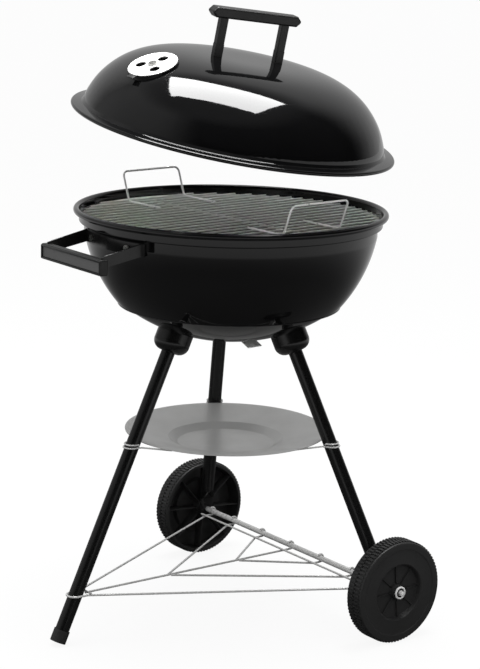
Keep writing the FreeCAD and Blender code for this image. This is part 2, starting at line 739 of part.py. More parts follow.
def make_pan_clip(azimuth):
    """Spring wire bent twice round a leg, as two turns, with two tails under the ash pan."""
    slope = math.atan((PAN_Z - PAN_SLOPE_Z) / (PAN_R - PAN_LIP - PAN_SLOPE_R))
    low_z = pan_underside(CLIP_TAIL_R) - (CLIP_WIRE_R + CLIP_SEAT_GAP) / math.cos(slope)
    half_width = LEG_R + CLIP_WIRE_R + SLIP_GAP
    wires = []
    for z in (low_z, low_z + CLIP_PITCH):
        centre_x = LEG_REACH - LEG_TAN * z
        back_x = centre_x + half_width / LEG_COS
        front_x = centre_x - LEG_R
        if z == low_z:
            tails = [polar(CLIP_TAIL_R, side * CLIP_TAIL_ANGLE, z) for side in (-1, 1)]
            path = clip_loop(front_x + CLIP_SHORT_BEND, tails, back_x, half_width, z, CLIP_BEND)
        else:
            tail_x = front_x + CLIP_DROP_IN
            tail_z = low_z + 2 * CLIP_WIRE_R + SLIP_GAP
            tails = [Vector(tail_x, side * half_width, tail_z) for side in (-1, 1)]
            path = clip_loop(tail_x, tails, back_x, half_width, z, CLIP_SHORT_BEND)
        wires.append(turned(swept(path, CLIP_WIRE_R), azimuth))
    return wires


# ---------------------------------------------------------------- bottom rack
def axle_hook(x):
    """Path of a hook round the axle, from under it up its back and over its top."""
    hook_r = AXLE_R + RACK_WIRE_R + SEAT_GAP
    centre = Vector(x, axle_y(), WHEEL_R)
    turn = math.radians(RACK_HOOK_TIP)
    tip = centre + Vector(0, -hook_r * math.cos(turn), hook_r * math.sin(turn))
    return arc(centre + Vector(0, 0, -hook_r), centre + Vector(0, hook_r, 0), tip)


def rack_wire(start, x):
    """One rack wire from a point in the rack's plane to its hook on the axle."""
    before = Vector(x, axle_y() - RACK_BACK_BEFORE_AXLE, start.z)
    under = Vector(x, axle_y(), start.z)
    return swept(bent_path([start, before, under], RACK_CORNER_BEND) + [axle_hook(x)], RACK_WIRE_R)


def make_rack():
    """Spot-welded triangle of zinc-plated wires from the front leg to the axle, with two Vs inside."""
    z = WHEEL_R - AXLE_R - RACK_WIRE_R - SEAT_GAP
    leg_r = LEG_REACH - LEG_TAN * z
    half_width = LEG_R + RACK_WIRE_R + SLIP_GAP
    inner_y = -(leg_r - half_width / LEG_COS)
    back_y = -(leg_r + half_width / LEG_COS)
    turn_y = back_y + half_width
    beside = 2 * RACK_WIRE_R + SLIP_GAP / 2
    wires = []
    for side in (-1, 1):
        wires.append(rack_wire(Vector(side * half_width, inner_y, z), side * RACK_OUTER_X))
        wires.append(rack_wire(Vector(side * beside, RACK_BIG_V_Y, z), side * RACK_BIG_V_X))
        wires.append(rack_wire(Vector(side * beside, RACK_SMALL_V_Y, z), side * RACK_SMALL_V_X))
    loop_start = Vector(-half_width, inner_y - SLIP_GAP, z)
    loop_end = Vector(half_width, inner_y - SLIP_GAP, z)
    loop = [
        line(loop_start, Vector(-half_width, turn_y, z)),
        arc(Vector(-half_width, turn_y, z), Vector(0, back_y, z), Vector(half_width, turn_y, z)),
        line(Vector(half_width, turn_y, z), loop_end),
    ]
    wires.append(swept(loop, RACK_WIRE_R))
    middle_start = Vector(0, inner_y + beside, z)
    wires.append(swept([line(middle_start, Vector(0, axle_y(), z)), axle_hook(0)], RACK_WIRE_R))
    over_z = z + beside
    for y, half in ((inner_y + beside, half_width + RACK_STOP_OVERHANG), (
            axle_y() - RACK_BACK_BEFORE_AXLE - RACK_CORNER_BEND, RACK_OUTER_X + RACK_STOP_OVERHANG)):
        wires.append(rod(Vector(-half, y, over_z), Vector(half, y, over_z), RACK_WIRE_R))
    return wires


# ---------------------------------------------------------------- grates
def parallel_rods(pitch, ring_r, rod_r, z):
    """Rods along Y at an even pitch across a ring."""
    count = int((ring_r - ROD_EDGE_SHARE * pitch) // pitch)
    rods = []
    for i in range(-count, count + 1):
        x = i * pitch
        half = math.sqrt(ring_r ** 2 - x ** 2)
        rods.append(rod(Vector(x, -half, z), Vector(x, half, z), rod_r))
    return rods


def grate_ring_z():
    """Height of the cooking grate's ring on the bowl's ledge."""
    return LEDGE_Z + SHEET + SEAT_GAP + RING_WIRE_R


def grate_rod_z():
    """Height of the cooking grate's rods, welded on top of the ring."""
    return grate_ring_z() + RING_WIRE_R + GRATE_ROD_R - WELD


def make_cooking_grate():
    """Ring with parallel rods on it and one cross bar under them."""
    z = grate_rod_z()
    rods = parallel_rods(GRATE_PITCH, GRATE_RING_R, GRATE_ROD_R, z)
    under_bar_z = z - 2 * GRATE_ROD_R + WELD
    bar = rod(Vector(-GRATE_RING_R, 0, under_bar_z), Vector(GRATE_RING_R, 0, under_bar_z), GRATE_ROD_R)
    return turned(fused([ring(GRATE_RING_R, RING_WIRE_R, grate_ring_z()), bar] + rods), GRATE_TURN)


def make_bail(side):
    """Wire loop to lift the cooking grate by, with its feet along the top of the rods."""
    foot_z = grate_rod_z() + 2 * GRATE_ROD_R + SLIP_GAP / 2
    top_x = BAIL_X + BAIL_LEAN
    points = [
        Vector(side * (BAIL_X - BAIL_FOOT), -BAIL_W / 2, foot_z),
        Vector(side * BAIL_X, -BAIL_W / 2, foot_z),
        Vector(side * top_x, -BAIL_W / 2, foot_z + BAIL_H),
        Vector(side * top_x, BAIL_W / 2, foot_z + BAIL_H),
        Vector(side * BAIL_X, BAIL_W / 2, foot_z),
        Vector(side * (BAIL_X - BAIL_FOOT), BAIL_W / 2, foot_z),
    ]
    return turned(swept(bent_path(points, BAIL_BEND), GRATE_ROD_R), GRATE_TURN)


def make_charcoal_grate():
    """Smaller, heavier grate on the bowl's step, for the charcoal."""
    ring_z = STEP_Z + SHEET + SEAT_GAP + RING_WIRE_R
    rod_z = ring_z + RING_WIRE_R + COAL_ROD_R - WELD
    bar_z = rod_z - 2 * COAL_ROD_R + WELD
    bar = rod(Vector(-COAL_RING_R, 0, bar_z), Vector(COAL_RING_R, 0, bar_z), COAL_ROD_R)
    rods = parallel_rods(COAL_PITCH, COAL_RING_R, COAL_ROD_R, rod_z)
    return fused([ring(COAL_RING_R, RING_WIRE_R, ring_z), bar] + rods)


# ---------------------------------------------------------------- side handle
def make_side_bracket():
    """Steel strap along the bowl with two arms that carry the side grip."""
    inner = WALL_R + SEAT_GAP
    band_ring = Part.makeCylinder(inner + BAND_T, BAND_H, Vector(0, 0, BAND_Z)).cut(
        Part.makeCylinder(inner, BAND_H, Vector(0, 0, BAND_Z)))
    reach = 2 * WALL_R
    wedge_points = [
        Vector(0, 0, BAND_Z),
        polar(reach, FRONT_AZIMUTH - BAND_HALF_ANGLE, BAND_Z),
        polar(reach, FRONT_AZIMUTH + BAND_HALF_ANGLE, BAND_Z),
    ]
    wedge = Part.Face(Part.makePolygon(wedge_points + [wedge_points[0]])).extrude(Vector(0, 0, BAND_H))
    pieces = [band_ring.common(wedge)]
    start_y = -math.sqrt((inner + BAND_T / 2) ** 2 - ARM_X ** 2)
    end_y = -(SIDE_GRIP_OUT_Y - SIDE_GRIP_T / 2)
    for side in (-1, 1):
        x = side * ARM_X - ARM_T / 2
        outline = [
            Vector(x, start_y, BAND_Z),
            Vector(x, start_y, BAND_Z + BAND_H),
            Vector(x, end_y, BAND_Z + BAND_H - ARM_DROP - ARM_TAPER),
            Vector(x, end_y, BAND_Z - ARM_DROP),
        ]
        pieces.append(Part.Face(Part.makePolygon(outline + [outline[0]])).extrude(Vector(ARM_T, 0, 0)))
    holes = []
    for side in (-1, 1):
        base, direction = side_screw_axis(side)
        holes.append(Part.makeCylinder(SIDE_SCREW_R + SLIP_GAP, RIM_R, base, direction))
    return fused(pieces).cut(holes)


def make_side_grip():
    """Heat-proof plastic grip with a recess for its front panel and slots for the arms."""
    grip = rounded_box(SIDE_GRIP_L, SIDE_GRIP_T, SIDE_GRIP_H, SIDE_GRIP_EDGE_R)
    grip.translate(Vector(0, -(SIDE_GRIP_OUT_Y - SIDE_GRIP_T / 2), SIDE_GRIP_Z))
    recess = Part.makeBox(
        SIDE_GRIP_L - 2 * SIDE_PANEL_BORDER, SIDE_RECESS, SIDE_GRIP_H - 2 * SIDE_PANEL_BORDER,
        Vector(-SIDE_GRIP_L / 2 + SIDE_PANEL_BORDER, -SIDE_GRIP_OUT_Y, SIDE_GRIP_Z + SIDE_PANEL_BORDER))
    cutters = [recess]
    slot_h = BAND_H + 2 * ARM_SLOT_PLAY
    for side in (-1, 1):
        cutters.append(Part.makeBox(
            ARM_T + 2 * SLIP_GAP, SIDE_GRIP_T / 2 + SLIP_GAP, slot_h,
            Vector(side * ARM_X - ARM_T / 2 - SLIP_GAP, -(SIDE_GRIP_OUT_Y - SIDE_GRIP_T / 2) - SLIP_GAP,
                   BAND_Z - ARM_DROP - ARM_SLOT_PLAY)))
    return grip.cut(cutters)


def make_side_panel():
    """Grey panel set into the side grip's recess."""
    length = SIDE_GRIP_L - 2 * SIDE_PANEL_BORDER - 2 * SLIP_GAP
    height = SIDE_GRIP_H - 2 * SIDE_PANEL_BORDER - 2 * SLIP_GAP
    return Part.makeBox(
        length, SIDE_PANEL_T, height,
        Vector(-length / 2, -SIDE_GRIP_OUT_Y + SIDE_RECESS - SLIP_GAP / 2 - SIDE_PANEL_T,
               SIDE_GRIP_Z + SIDE_PANEL_BORDER + SLIP_GAP))


def side_fixing(start_r, parts):
    """Round stepped pieces along both screws of the side handle, from a radius outwards."""
    result = []
    for side in (-1, 1):
        base, direction = side_screw_axis(side)
        steps = [Part.makeCylinder(radius, length, Vector(0, 0, start)) for start, length, radius in parts]
        bar = fused(steps)
        result.append(along(bar, base + direction * start_r, direction))
    return result


def make_side_screws():
    """Two screws through the strap and the bowl's wall."""
    shank = BAND_T + SHEET + SIDE_SCREW_TIP
    outside = WALL_R + SEAT_GAP + BAND_T + SLIP_GAP
    return side_fixing(outside, [
        (-shank, shank + SIDE_SCREW_HEAD_H / 2, SIDE_SCREW_R),
        (0, SIDE_SCREW_HEAD_H, SIDE_SCREW_HEAD_R),
    ])


def make_side_nuts():
    """Nuts on the side handle's screws, inside the bowl."""
    foot = Vector(0, 0, -SIDE_NUT_H)
    nut = Part.makeCylinder(SIDE_SCREW_HEAD_R, SIDE_NUT_H, foot).cut(
        Part.makeCylinder(SIDE_SCREW_R + RUNNING_GAP, SIDE_NUT_H, foot))
    inside = WALL_R - SHEET - SIDE_NUT_STAND
    nuts = []
    for side in (-1, 1):
        base, direction = side_screw_axis(side)
        nuts.append(along(nut, base + direction * inside, direction))
    return nuts


# ---------------------------------------------------------------- lid
def dome_point(share, inset=0.0):
    """Point of the dome's outline, from its top at 0 to its foot at 1, moved inwards by an inset."""
    turn = share * math.pi / 2
    out = math.sin(turn) ** (2 / DOME_POWER_R)
    rise = math.cos(turn) ** (2 / DOME_POWER_Z)
    normal = rz(
        DOME_POWER_R / DOME_R * out ** (DOME_POWER_R - 1),
        DOME_POWER_Z / DOME_RISE * rise ** (DOME_POWER_Z - 1),
    ).normalize()
    return rz(DOME_R * out, DOME_FOOT_Z + DOME_RISE * rise) - normal * inset


def dome_height(radius):
    """Height of the dome's outer face at a radius."""
    return DOME_FOOT_Z + DOME_RISE * (1 - (radius / DOME_R) ** DOME_POWER_R) ** (1 / DOME_POWER_Z)


def dome_edges(inset=0.0):
    """Flat crown and smooth side of the dome's outer face, or of a face inset from it."""
    crown_z = DOME_FOOT_Z + DOME_RISE - inset
    crown_end = rz(DOME_FLAT_R, crown_z)
    shares = [DOME_END * i / DOME_POINTS for i in range(1, DOME_POINTS + 1)]
    curve = Part.BSplineCurve()
    curve.interpolate(
        Points=[crown_end] + [dome_point(share, inset) for share in shares],
        InitialTangent=Vector(1, 0, 0),
        FinalTangent=Vector(DOME_END_SLOPE, 0, -1),
    )
    return [line(rz(0, crown_z), crown_end), curve.toShape()]


def lid_face_edges(inset=0.0):
    """Edges of the lid's outer face, or of a face inset from it, from crown to rolled lip."""
    foot = dome_point(DOME_END, inset)
    flange_in = rz(FLANGE_IN_R - inset / 2, FLANGE_IN_Z - inset)
    lip = rz(LID_R - LIP_ROLL_R, 0)
    lip_points = [
        lip + rz(math.cos(turn), math.sin(turn)) * (LIP_ROLL_R - inset)
        for turn in map(math.radians, (LIP_START, (LIP_START + LIP_END) / 2, LIP_END))
    ]
    return dome_edges(inset) + [line(foot, flange_in), line(flange_in, lip_points[0]), arc(*lip_points)]


def lid_damper_frame():
    """Middle of the lid damper's seat and its outward normal, in the lid's own frame."""
    step = 0.5
    slope = (dome_height(LID_DAMPER_AT_R + step) - dome_height(LID_DAMPER_AT_R - step)) / (2 * step)
    normal = polar(-slope, LID_DAMPER_AZIMUTH, 1).normalize()
    on_dome = polar(LID_DAMPER_AT_R, LID_DAMPER_AZIMUTH, dome_height(LID_DAMPER_AT_R))
    return on_dome + normal * LID_DAMPER_PAD_RAISE, normal


def post_centres():
    """The lid handle's two post centres, in the lid's own frame."""
    return [polar(side * POST_SPACING / 2, LID_HANDLE_AZIMUTH) for side in (-1, 1)]


def dome_filled():
    """Everything under the dome's outer face, as one solid."""
    edges = dome_edges()
    foot = end_point(edges[-1])
    return spin(edges + [line(foot, rz(0, foot.z)), line(rz(0, foot.z), rz(0, DOME_FOOT_Z + DOME_RISE))])


def lid_vent_cutters(height, z):
    """Round cutters for the lid's vents, about the damper's own axis."""
    cutters = vent_cutters(LID_VENTS, LID_VENT_R, LID_VENT_PITCH_R, height, z)
    return [turned(cutter, LID_VENT_TURN) for cutter in cutters]


def make_lid_shell():
    """Lid of enamelled sheet with its flange, rolled lip and a flat pad for the damper."""
    outer = lid_face_edges()
    inner = lid_face_edges(SHEET)
    crown_z = DOME_FOOT_Z + DOME_RISE
    ends = [line(end_point(outer[-1]), end_point(inner[-1])), line(rz(0, crown_z - SHEET), rz(0, crown_z))]
    shell = spin(outer + ends[:1] + inner[::-1] + ends[1:])
    centre, normal = lid_damper_frame()
    blank = Part.makeCylinder(LID_DAMPER_PAD_R, LID_DAMPER_PAD_DEPTH, Vector(0, 0, -LID_DAMPER_PAD_DEPTH))
    pad = along(blank, centre, normal)
    inside = dome_filled()
    inside.translate(Vector(0, 0, -SHEET / 2))
    lid = fused([shell, pad.cut(inside)])
    holes = [Part.makeCylinder(RIVET_R + RUNNING_GAP, LID_CUT, Vector(0, 0, -LID_CUT / 2))]
    holes += lid_vent_cutters(LID_CUT, -LID_CUT / 2)
    cutters = [along(hole, centre, normal) for hole in holes]
    for post in post_centres():
        low = post + Vector(0, 0, DOME_RISE - LID_CUT / 2)
        cutters.append(Part.makeCylinder(HANDLE_SCREW_R + SLIP_GAP, LID_CUT, low))
    return lid.cut(cutters)


def make_lid_damper():
    """Polished disc that turns on the lid, with vents and a small tab."""
    centre, normal = lid_damper_frame()
    low = SEAT_GAP
    disc = Part.makeCylinder(LID_DAMPER_R, DAMPER_SHEET, Vector(0, 0, low))
    tab = Part.makeBox(
        LID_TAB_L + TAB_LAP, LID_TAB_W, DAMPER_SHEET, Vector(LID_DAMPER_R - TAB_LAP, -LID_TAB_W / 2, low))
    depth = DAMPER_SHEET + 2 * CUT_MARGIN
    holes = lid_vent_cutters(depth, low - CUT_MARGIN)
    holes.append(Part.makeCylinder(RIVET_R + RUNNING_GAP, depth, Vector(0, 0, low - CUT_MARGIN)))
    return along(fused([disc, turned(tab, LID_TAB_TURN)]).cut(holes), centre, normal)


def make_lid_damper_rivet():
    """Rivet that the lid's damper turns on."""
    centre, normal = lid_damper_frame()
    low = -LID_RIVET_DEPTH - SLIP_GAP
    high = DAMPER_SHEET + 2 * SEAT_GAP
    return along(rivet(high - low), centre + normal * low, normal)


def upright_block(length, width, low, high, edge_r):
    """Block along the lid handle's direction, with its upright edges rounded, between two heights."""
    box = Part.makeBox(length, width, high - low, Vector(-length / 2, -width / 2, low))
    upright = [edge for edge in box.Edges if abs(edge.tangentAt(edge.FirstParameter).z) > UPRIGHT]
    return turned(box.makeFillet(edge_r, upright), LID_HANDLE_AZIMUTH)


def make_lid_handle():
    """Plastic grip bar with pointed ends on two posts, in one moulding."""
    half = GRIP_LENGTH / 2
    low = POST_TOP_Z
    high = POST_TOP_Z + GRIP_THICK
    middle = (low + high) / 2
    corners = [
        Vector(-half, -GRIP_W / 2, middle), Vector(-half + GRIP_POINT, -GRIP_W / 2, low),
        Vector(half - GRIP_POINT, -GRIP_W / 2, low), Vector(half, -GRIP_W / 2, middle),
        Vector(half - GRIP_POINT, -GRIP_W / 2, high), Vector(-half + GRIP_POINT, -GRIP_W / 2, high),
    ]
    bar = Part.Face(Part.makePolygon(corners + [corners[0]])).extrude(Vector(0, GRIP_W, 0))
    bar = turned(bar.makeFillet(GRIP_EDGE_R, bar.Edges), LID_HANDLE_AZIMUTH)
    pieces = [bar]
    holes = []
    for post in post_centres():
        block = upright_block(POST_ALONG, POST_ACROSS, STANDOFF_TOP_Z + SLIP_GAP / 2, middle, POST_EDGE_R)
        block.translate(post)
        pieces.append(block)
        foot = post + Vector(0, 0, STANDOFF_TOP_Z)
        holes.append(Part.makeCylinder(HANDLE_SCREW_R + RUNNING_GAP, HANDLE_SCREW_BITE + BLIND_SPARE, foot))
    return fused(pieces).cut(holes)


def make_lid_standoff(post):
    """Foot of a post: a separate block that keeps the handle off the hot lid."""
    low = DOME_RISE - STANDOFF_SINK
    block = upright_block(
        STANDOFF_ALONG, STANDOFF_ACROSS, low, STANDOFF_TOP_Z - SLIP_GAP / 2, STANDOFF_EDGE_R)
    block.translate(post)
    clear = dome_filled()
    clear.translate(Vector(0, 0, SLIP_GAP))
    hole = Part.makeCylinder(HANDLE_SCREW_R + SLIP_GAP, POST_TOP_Z, post)
    return block.cut([clear, hole])


def make_lid_handle_screws():
    """Screws from inside the lid, through the standoffs, into the posts."""
    head_top = dome_height(POST_SPACING / 2) - SHEET - HANDLE_HEAD_GAP
    head_z = head_top - HANDLE_SCREW_HEAD_H
    tip_z = STANDOFF_TOP_Z + HANDLE_SCREW_BITE
    screws = []
    for post in post_centres():
        screws.append(fused([
            Part.makeCylinder(HANDLE_SCREW_R, tip_z - head_z, post + Vector(0, 0, head_z)),
            Part.makeCylinder(HANDLE_SCREW_HEAD_R, HANDLE_SCREW_HEAD_H, post + Vector(0, 0, head_z)),
        ]))
    return screws


def lid_placement():
    """Where the lid hangs: lifted off its seat and tilted down towards one side."""
    tilt_axis = polar(1, LID_LOW_AZIMUTH + 90)
    return FreeCAD.Placement(Vector(0, 0, LID_SEAT_Z + LID_LIFT), Rotation(tilt_axis, LID_TILT))


def on_lid(shape):
    """Copy of a lid piece set where the lid hangs."""
    copy = shape.copy()
    copy.Placement = lid_placement().multiply(copy.Placement)
    return copy


# ---------------------------------------------------------------- assembly
def all_nodes():
    """Every node of the grill: name to a list of shapes."""
    azimuths = {"front": FRONT_AZIMUTH, "right": RIGHT_AZIMUTH, "left": LEFT_AZIMUTH}
    posts = dict(zip(("front", "back"), post_centres()))
    nodes = {
        "bowl": [make_bowl()],
        "bowl_damper": [make_bowl_damper()],
        "bowl_damper_rivet": [make_bowl_damper_rivet()],
        "lid_shell": [on_lid(make_lid_shell())],
        "lid_damper": [on_lid(make_lid_damper())],
        "lid_damper_rivet": [on_lid(make_lid_damper_rivet())],
        "lid_handle": [on_lid(make_lid_handle())],
        "lid_handle_screws": [on_lid(screw) for screw in make_lid_handle_screws()],
        "side_handle_bracket": [make_side_bracket()],
        "side_handle_grip": [make_side_grip()],
        "side_handle_panel": [make_side_panel()],
        "side_handle_screws": make_side_screws(),
        "side_handle_nuts": make_side_nuts(),
        "cooking_grate": [make_cooking_grate()],
        "grate_bails": [make_bail(-1), make_bail(1)],
        "charcoal_grate": [make_charcoal_grate()],
        "leg_front": [make_front_leg()],
        "leg_right": [make_wheel_leg(RIGHT_AZIMUTH)],
        "leg_left": [make_wheel_leg(LEFT_AZIMUTH)],
        "foot_cap": [make_foot()],
        "socket_bolts": [make_socket_bolt(azimuth) for azimuth in azimuths.values()],
        "socket_nuts": [make_socket_nut(azimuth) for azimuth in azimuths.values()],
        "axle": [make_axle()],
        "axle_spacers": make_spacers(),
        "axle_push_nuts": make_push_nuts(),
        "wheel_right": [make_wheel(1)],
        "wheel_left": [make_wheel(-1)],
        "ash_pan": [make_ash_pan()],
        "bottom_rack": make_rack(),
    }
    for name, azimuth in azimuths.items():
        nodes["leg_socket_" + name] = [make_socket(azimuth)]
        nodes["pan_clip_" + name] = make_pan_clip(azimuth)
    for name, post in posts.items():
        nodes["lid_handle_standoff_" + name] = [on_lid(make_lid_standoff(post))]
    return nodes


def main():
    """Build every node, move the grill onto its origin and write one STEP file per node."""
    os.makedirs("parts", exist_ok=True)
    for name, shapes in all_nodes().items():
        shape = shapes[0] if len(shapes) == 1 else Part.makeCompound(shapes)
        moved = shape.copy()
        moved.translate(SHIFT)
        moved.exportStep(os.path.join("parts", name + ".step"))
        print(f"{name:26s} solids {len(moved.Solids)} valid {moved.isValid()} volume {moved.Volume:10.0f}")


main()
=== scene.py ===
"""Looks of a kettle charcoal grill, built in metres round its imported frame."""

import logging
import math
from collections.abc import Iterator, Sequence
from contextlib import contextmanager
from dataclasses import dataclass
from enum import Enum

import bpy
from mathutils import Matrix, Vector


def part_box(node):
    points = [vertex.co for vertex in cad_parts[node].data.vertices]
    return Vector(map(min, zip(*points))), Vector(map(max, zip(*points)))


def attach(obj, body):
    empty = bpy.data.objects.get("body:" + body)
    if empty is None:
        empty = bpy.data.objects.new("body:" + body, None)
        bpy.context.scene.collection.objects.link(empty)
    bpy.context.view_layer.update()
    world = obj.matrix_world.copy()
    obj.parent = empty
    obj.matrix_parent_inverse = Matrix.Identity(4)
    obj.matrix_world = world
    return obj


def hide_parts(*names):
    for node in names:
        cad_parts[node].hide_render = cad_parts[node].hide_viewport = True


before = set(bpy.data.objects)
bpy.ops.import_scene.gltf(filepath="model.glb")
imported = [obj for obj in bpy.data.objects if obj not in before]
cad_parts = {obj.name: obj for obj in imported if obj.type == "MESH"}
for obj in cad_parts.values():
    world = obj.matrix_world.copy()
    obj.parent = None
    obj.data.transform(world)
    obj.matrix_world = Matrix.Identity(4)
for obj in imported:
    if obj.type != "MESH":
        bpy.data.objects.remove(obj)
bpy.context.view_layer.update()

MM = 0.001
FULL_TURN = 2 * math.pi
UP = Vector((0, 0, 1))
SMOOTH_ANGLE = math.radians(32)
MERGE = 0.00001
VENTS = 3
RIVET_HOLE = 0.0031
MARKS_SPAN = (0.3, 0.7)
Point = tuple[float, float]
log = logging.getLogger("grill")


class Body(str, Enum):
    """Bodies of the grill that pieces ride on."""

    STAND = "stand"
    LID = "lid"
    LID_DAMPER = "lid_damper"
    WHEEL_RIGHT = "wheel_right"
    WHEEL_LEFT = "wheel_left"
    ASH_PAN = "ash_pan"


# ---- materials
def linear(hex_code: str) -> tuple[float, float, float, float]:
    """Turns an sRGB hex colour into linear light.

    Args:
        hex_code: six hex digits, with or without a leading #.
    Returns:
        Red, green, blue and an alpha of 1.
    """
    digits = hex_code.lstrip("#")
    shares = [int(digits[i:i + 2], 16) / 255 for i in (0, 2, 4)]
    low_end, slope, offset, power = 0.04045, 12.92, 0.055, 2.4
    red, green, blue = (
        s / slope if s <= low_end else ((s + offset) / (1 + offset)) ** power for s in shares
    )
    return red, green, blue, 1.0


def add_node(
    tree: bpy.types.NodeTree,
    kind: str,
    settings: dict[str, object] | None = None,
    inputs: dict[str | int, object] | None = None,
) -> bpy.types.Node:
    """Adds a node with its settings and links.

    Args:
        tree: the node tree it goes into.
        kind: Blender's name of the node's type.
        settings: attributes of the node.
        inputs: a value, or an output socket to link, for each named or numbered input.
    Returns:
        The new node.
    """
    made = tree.nodes.new(kind)
    for name, value in (settings or {}).items():
        setattr(made, name, value)
    for key, value in (inputs or {}).items():
        if isinstance(value, bpy.types.NodeSocket):
            tree.links.new(value, made.inputs[key])
        else:
            made.inputs[key].default_value = value
    return made


def ramp(
    tree: bpy.types.NodeTree, value: bpy.types.NodeSocket, span: Point, result: Point, soft: bool = True
) -> bpy.types.NodeSocket:
    """Turns one span of values into another and holds it at the ends.

    Args:
        tree: the nodes' tree.
        value: what is turned.
        span: lowest and highest value that is read.
        result: what those two give.
        soft: whether the ends are eased.
    Returns:
        The result's socket.
    """
    shape = {"interpolation_type": "SMOOTHSTEP"} if soft else {}
    limits = {"From Min": span[0], "From Max": span[1], "To Min": result[0], "To Max": result[1]}
    return add_node(tree, "ShaderNodeMapRange", shape, {"Value": value, **limits}).outputs["Result"]


def blend(
    tree: bpy.types.NodeTree,
    share: bpy.types.NodeSocket,
    first: bpy.types.NodeSocket | float,
    second: bpy.types.NodeSocket | float,
) -> bpy.types.NodeSocket:
    """Mixes two strengths.

    Args:
        tree: the nodes' tree.
        share: share of the second one, 0 to 1.
        first: strength at 0.
        second: strength at 1.
    Returns:
        The mixed strength's socket.
    """
    inputs = {"Factor": share, "A": first, "B": second}
    return add_node(tree, "ShaderNodeMix", {"data_type": "FLOAT"}, inputs).outputs["Result"]


def noise(
    tree: bpy.types.NodeTree, place: bpy.types.NodeSocket, size_mm: float, detail: float
) -> bpy.types.NodeSocket:
    """Uneven marks of one size, 0 to 1.

    Args:
        tree: the nodes' tree.
        place: object coordinates.
        size_mm: the marks' size in millimetres.
        detail: how far finer marks are added.
    Returns:
        The marks' socket.
    """
    inputs = {"Vector": place, "Scale": 1 / (size_mm * MM), "Detail": detail}
    return add_node(tree, "ShaderNodeTexNoise", {}, inputs).outputs["Fac"]


@dataclass(frozen=True)
class Finish:
    """A surface: its colour and gloss, two sizes of marks in it, and what they do.

    The broad marks shift the colour and the gloss a little, and the fine ones stand as relief.
    """

    name: str
    colour: str
    worn_colour: str
    roughness: float
    roughness_shift: float = 0.05
    metallic: float = 0.0
    ior: float = 1.5
    broad_mm: float = 30.0
    fine_mm: float = 1.0
    relief_mm: float = 0.01

    def build(self) -> bpy.types.Material:
        """Makes the material, or finds it when it is there already.

        Returns:
            The material.
        """
        found = bpy.data.materials.get(self.name)
        if found:
            return found
        material = bpy.data.materials.new(self.name)
        material.use_nodes = True
        tree = material.node_tree
        tree.nodes.clear()
        place = add_node(tree, "ShaderNodeTexCoord").outputs["Object"]
        broad = noise(tree, place, self.broad_mm, 4.0)
        shader = add_node(
            tree,
            "ShaderNodeBsdfPrincipled",
            {},
            {
                "Base Color": self.tone(tree, broad),
                "Roughness": self.gloss(tree, broad),
                "Normal": self.relief(tree, place),
                "Metallic": self.metallic,
            },
        )
        if self.metallic < 1:
            shader.inputs["IOR"].default_value = self.ior
        add_node(tree, "ShaderNodeOutputMaterial", {}, {"Surface": shader.outputs["BSDF"]})
        return material

    def tone(self, tree: bpy.types.NodeTree, marks: bpy.types.NodeSocket) -> bpy.types.NodeSocket:
        """Colour that drifts between the fresh and the worn one.

        Args:
            tree: the material's nodes.
            marks: the broad marks, 0 to 1.
        Returns:
            The colour's socket.
        """
        mix = add_node(
            tree,
            "ShaderNodeMix",
            {"data_type": "RGBA"},
            {"Factor": marks, "A": linear(self.colour), "B": linear(self.worn_colour)},
        )
        return mix.outputs["Result"]

    def gloss(self, tree: bpy.types.NodeTree, marks: bpy.types.NodeSocket) -> bpy.types.NodeSocket:
        """Roughness that drifts with the broad marks.

        Args:
            tree: the material's nodes.
            marks: the broad marks, 0 to 1.
        Returns:
            The roughness's socket.
        """
        rougher = self.roughness + self.roughness_shift
        smoother = max(0.0, self.roughness - self.roughness_shift)
        return ramp(tree, marks, MARKS_SPAN, (smoother, rougher), soft=False)

    def fine_marks(self, tree: bpy.types.NodeTree, place: bpy.types.NodeSocket) -> bpy.types.NodeSocket:
        """Fine marks, 0 to 1.

        Args:
            tree: the material's nodes.
            place: object coordinates.
        Returns:
            The marks' socket.
        """
        return noise(tree, place, self.fine_mm, 2.0)

    def relief(self, tree: bpy.types.NodeTree, place: bpy.types.NodeSocket) -> bpy.types.NodeSocket:
        """Bump from the fine marks.

        Args:
            tree: the material's nodes.
            place: object coordinates.
        Returns:
            The normal's socket.
        """
        bump = add_node(
            tree,
            "ShaderNodeBump",
            {},
            {"Height": self.fine_marks(tree, place), "Distance": self.relief_mm * MM, "Strength": 1.0},
        )
        return bump.outputs["Normal"]


@dataclass(frozen=True)
class TurnedFinish(Finish):
    """A surface polished or brushed on a lathe: its fine marks are circles round an upright axis."""

    axis_x: float = 0.0
    axis_y: float = 0.0

    def fine_marks(self, tree: bpy.types.NodeTree, place: bpy.types.NodeSocket) -> bpy.types.NodeSocket:
        """Fine marks that depend on the distance from the axis alone, 0 to 1.

        Args:
            tree: the material's nodes.
            place: object coordinates.
        Returns:
            The marks' socket.
        """
        centred = add_node(
            tree, "ShaderNodeMapping", {}, {"Vector": place, "Location": (-self.axis_x, -self.axis_y, 0.0)}
        )
        flat = add_node(
            tree,
            "ShaderNodeVectorMath",
            {"operation": "MULTIPLY"},
            {0: centred.outputs["Vector"], 1: (1.0, 1.0, 0.0)},
        )
        radius = add_node(tree, "ShaderNodeVectorMath", {"operation": "LENGTH"}, {0: flat.outputs["Vector"]})
        marks = add_node(
            tree,
            "ShaderNodeTexNoise",
            {"noise_dimensions": "1D"},
            {"W": radius.outputs["Value"], "Scale": 1 / (self.fine_mm * MM), "Detail": 3.0},
        )
        return marks.outputs["Fac"]


def bowl_axis() -> Vector:
    """Foot of the bowl's upright axis on the floor.

    Returns:
        The point.
    """
    low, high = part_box("bowl")
    return Vector(((low.x + high.x) / 2, (low.y + high.y) / 2, 0))


AXIS = bowl_axis()

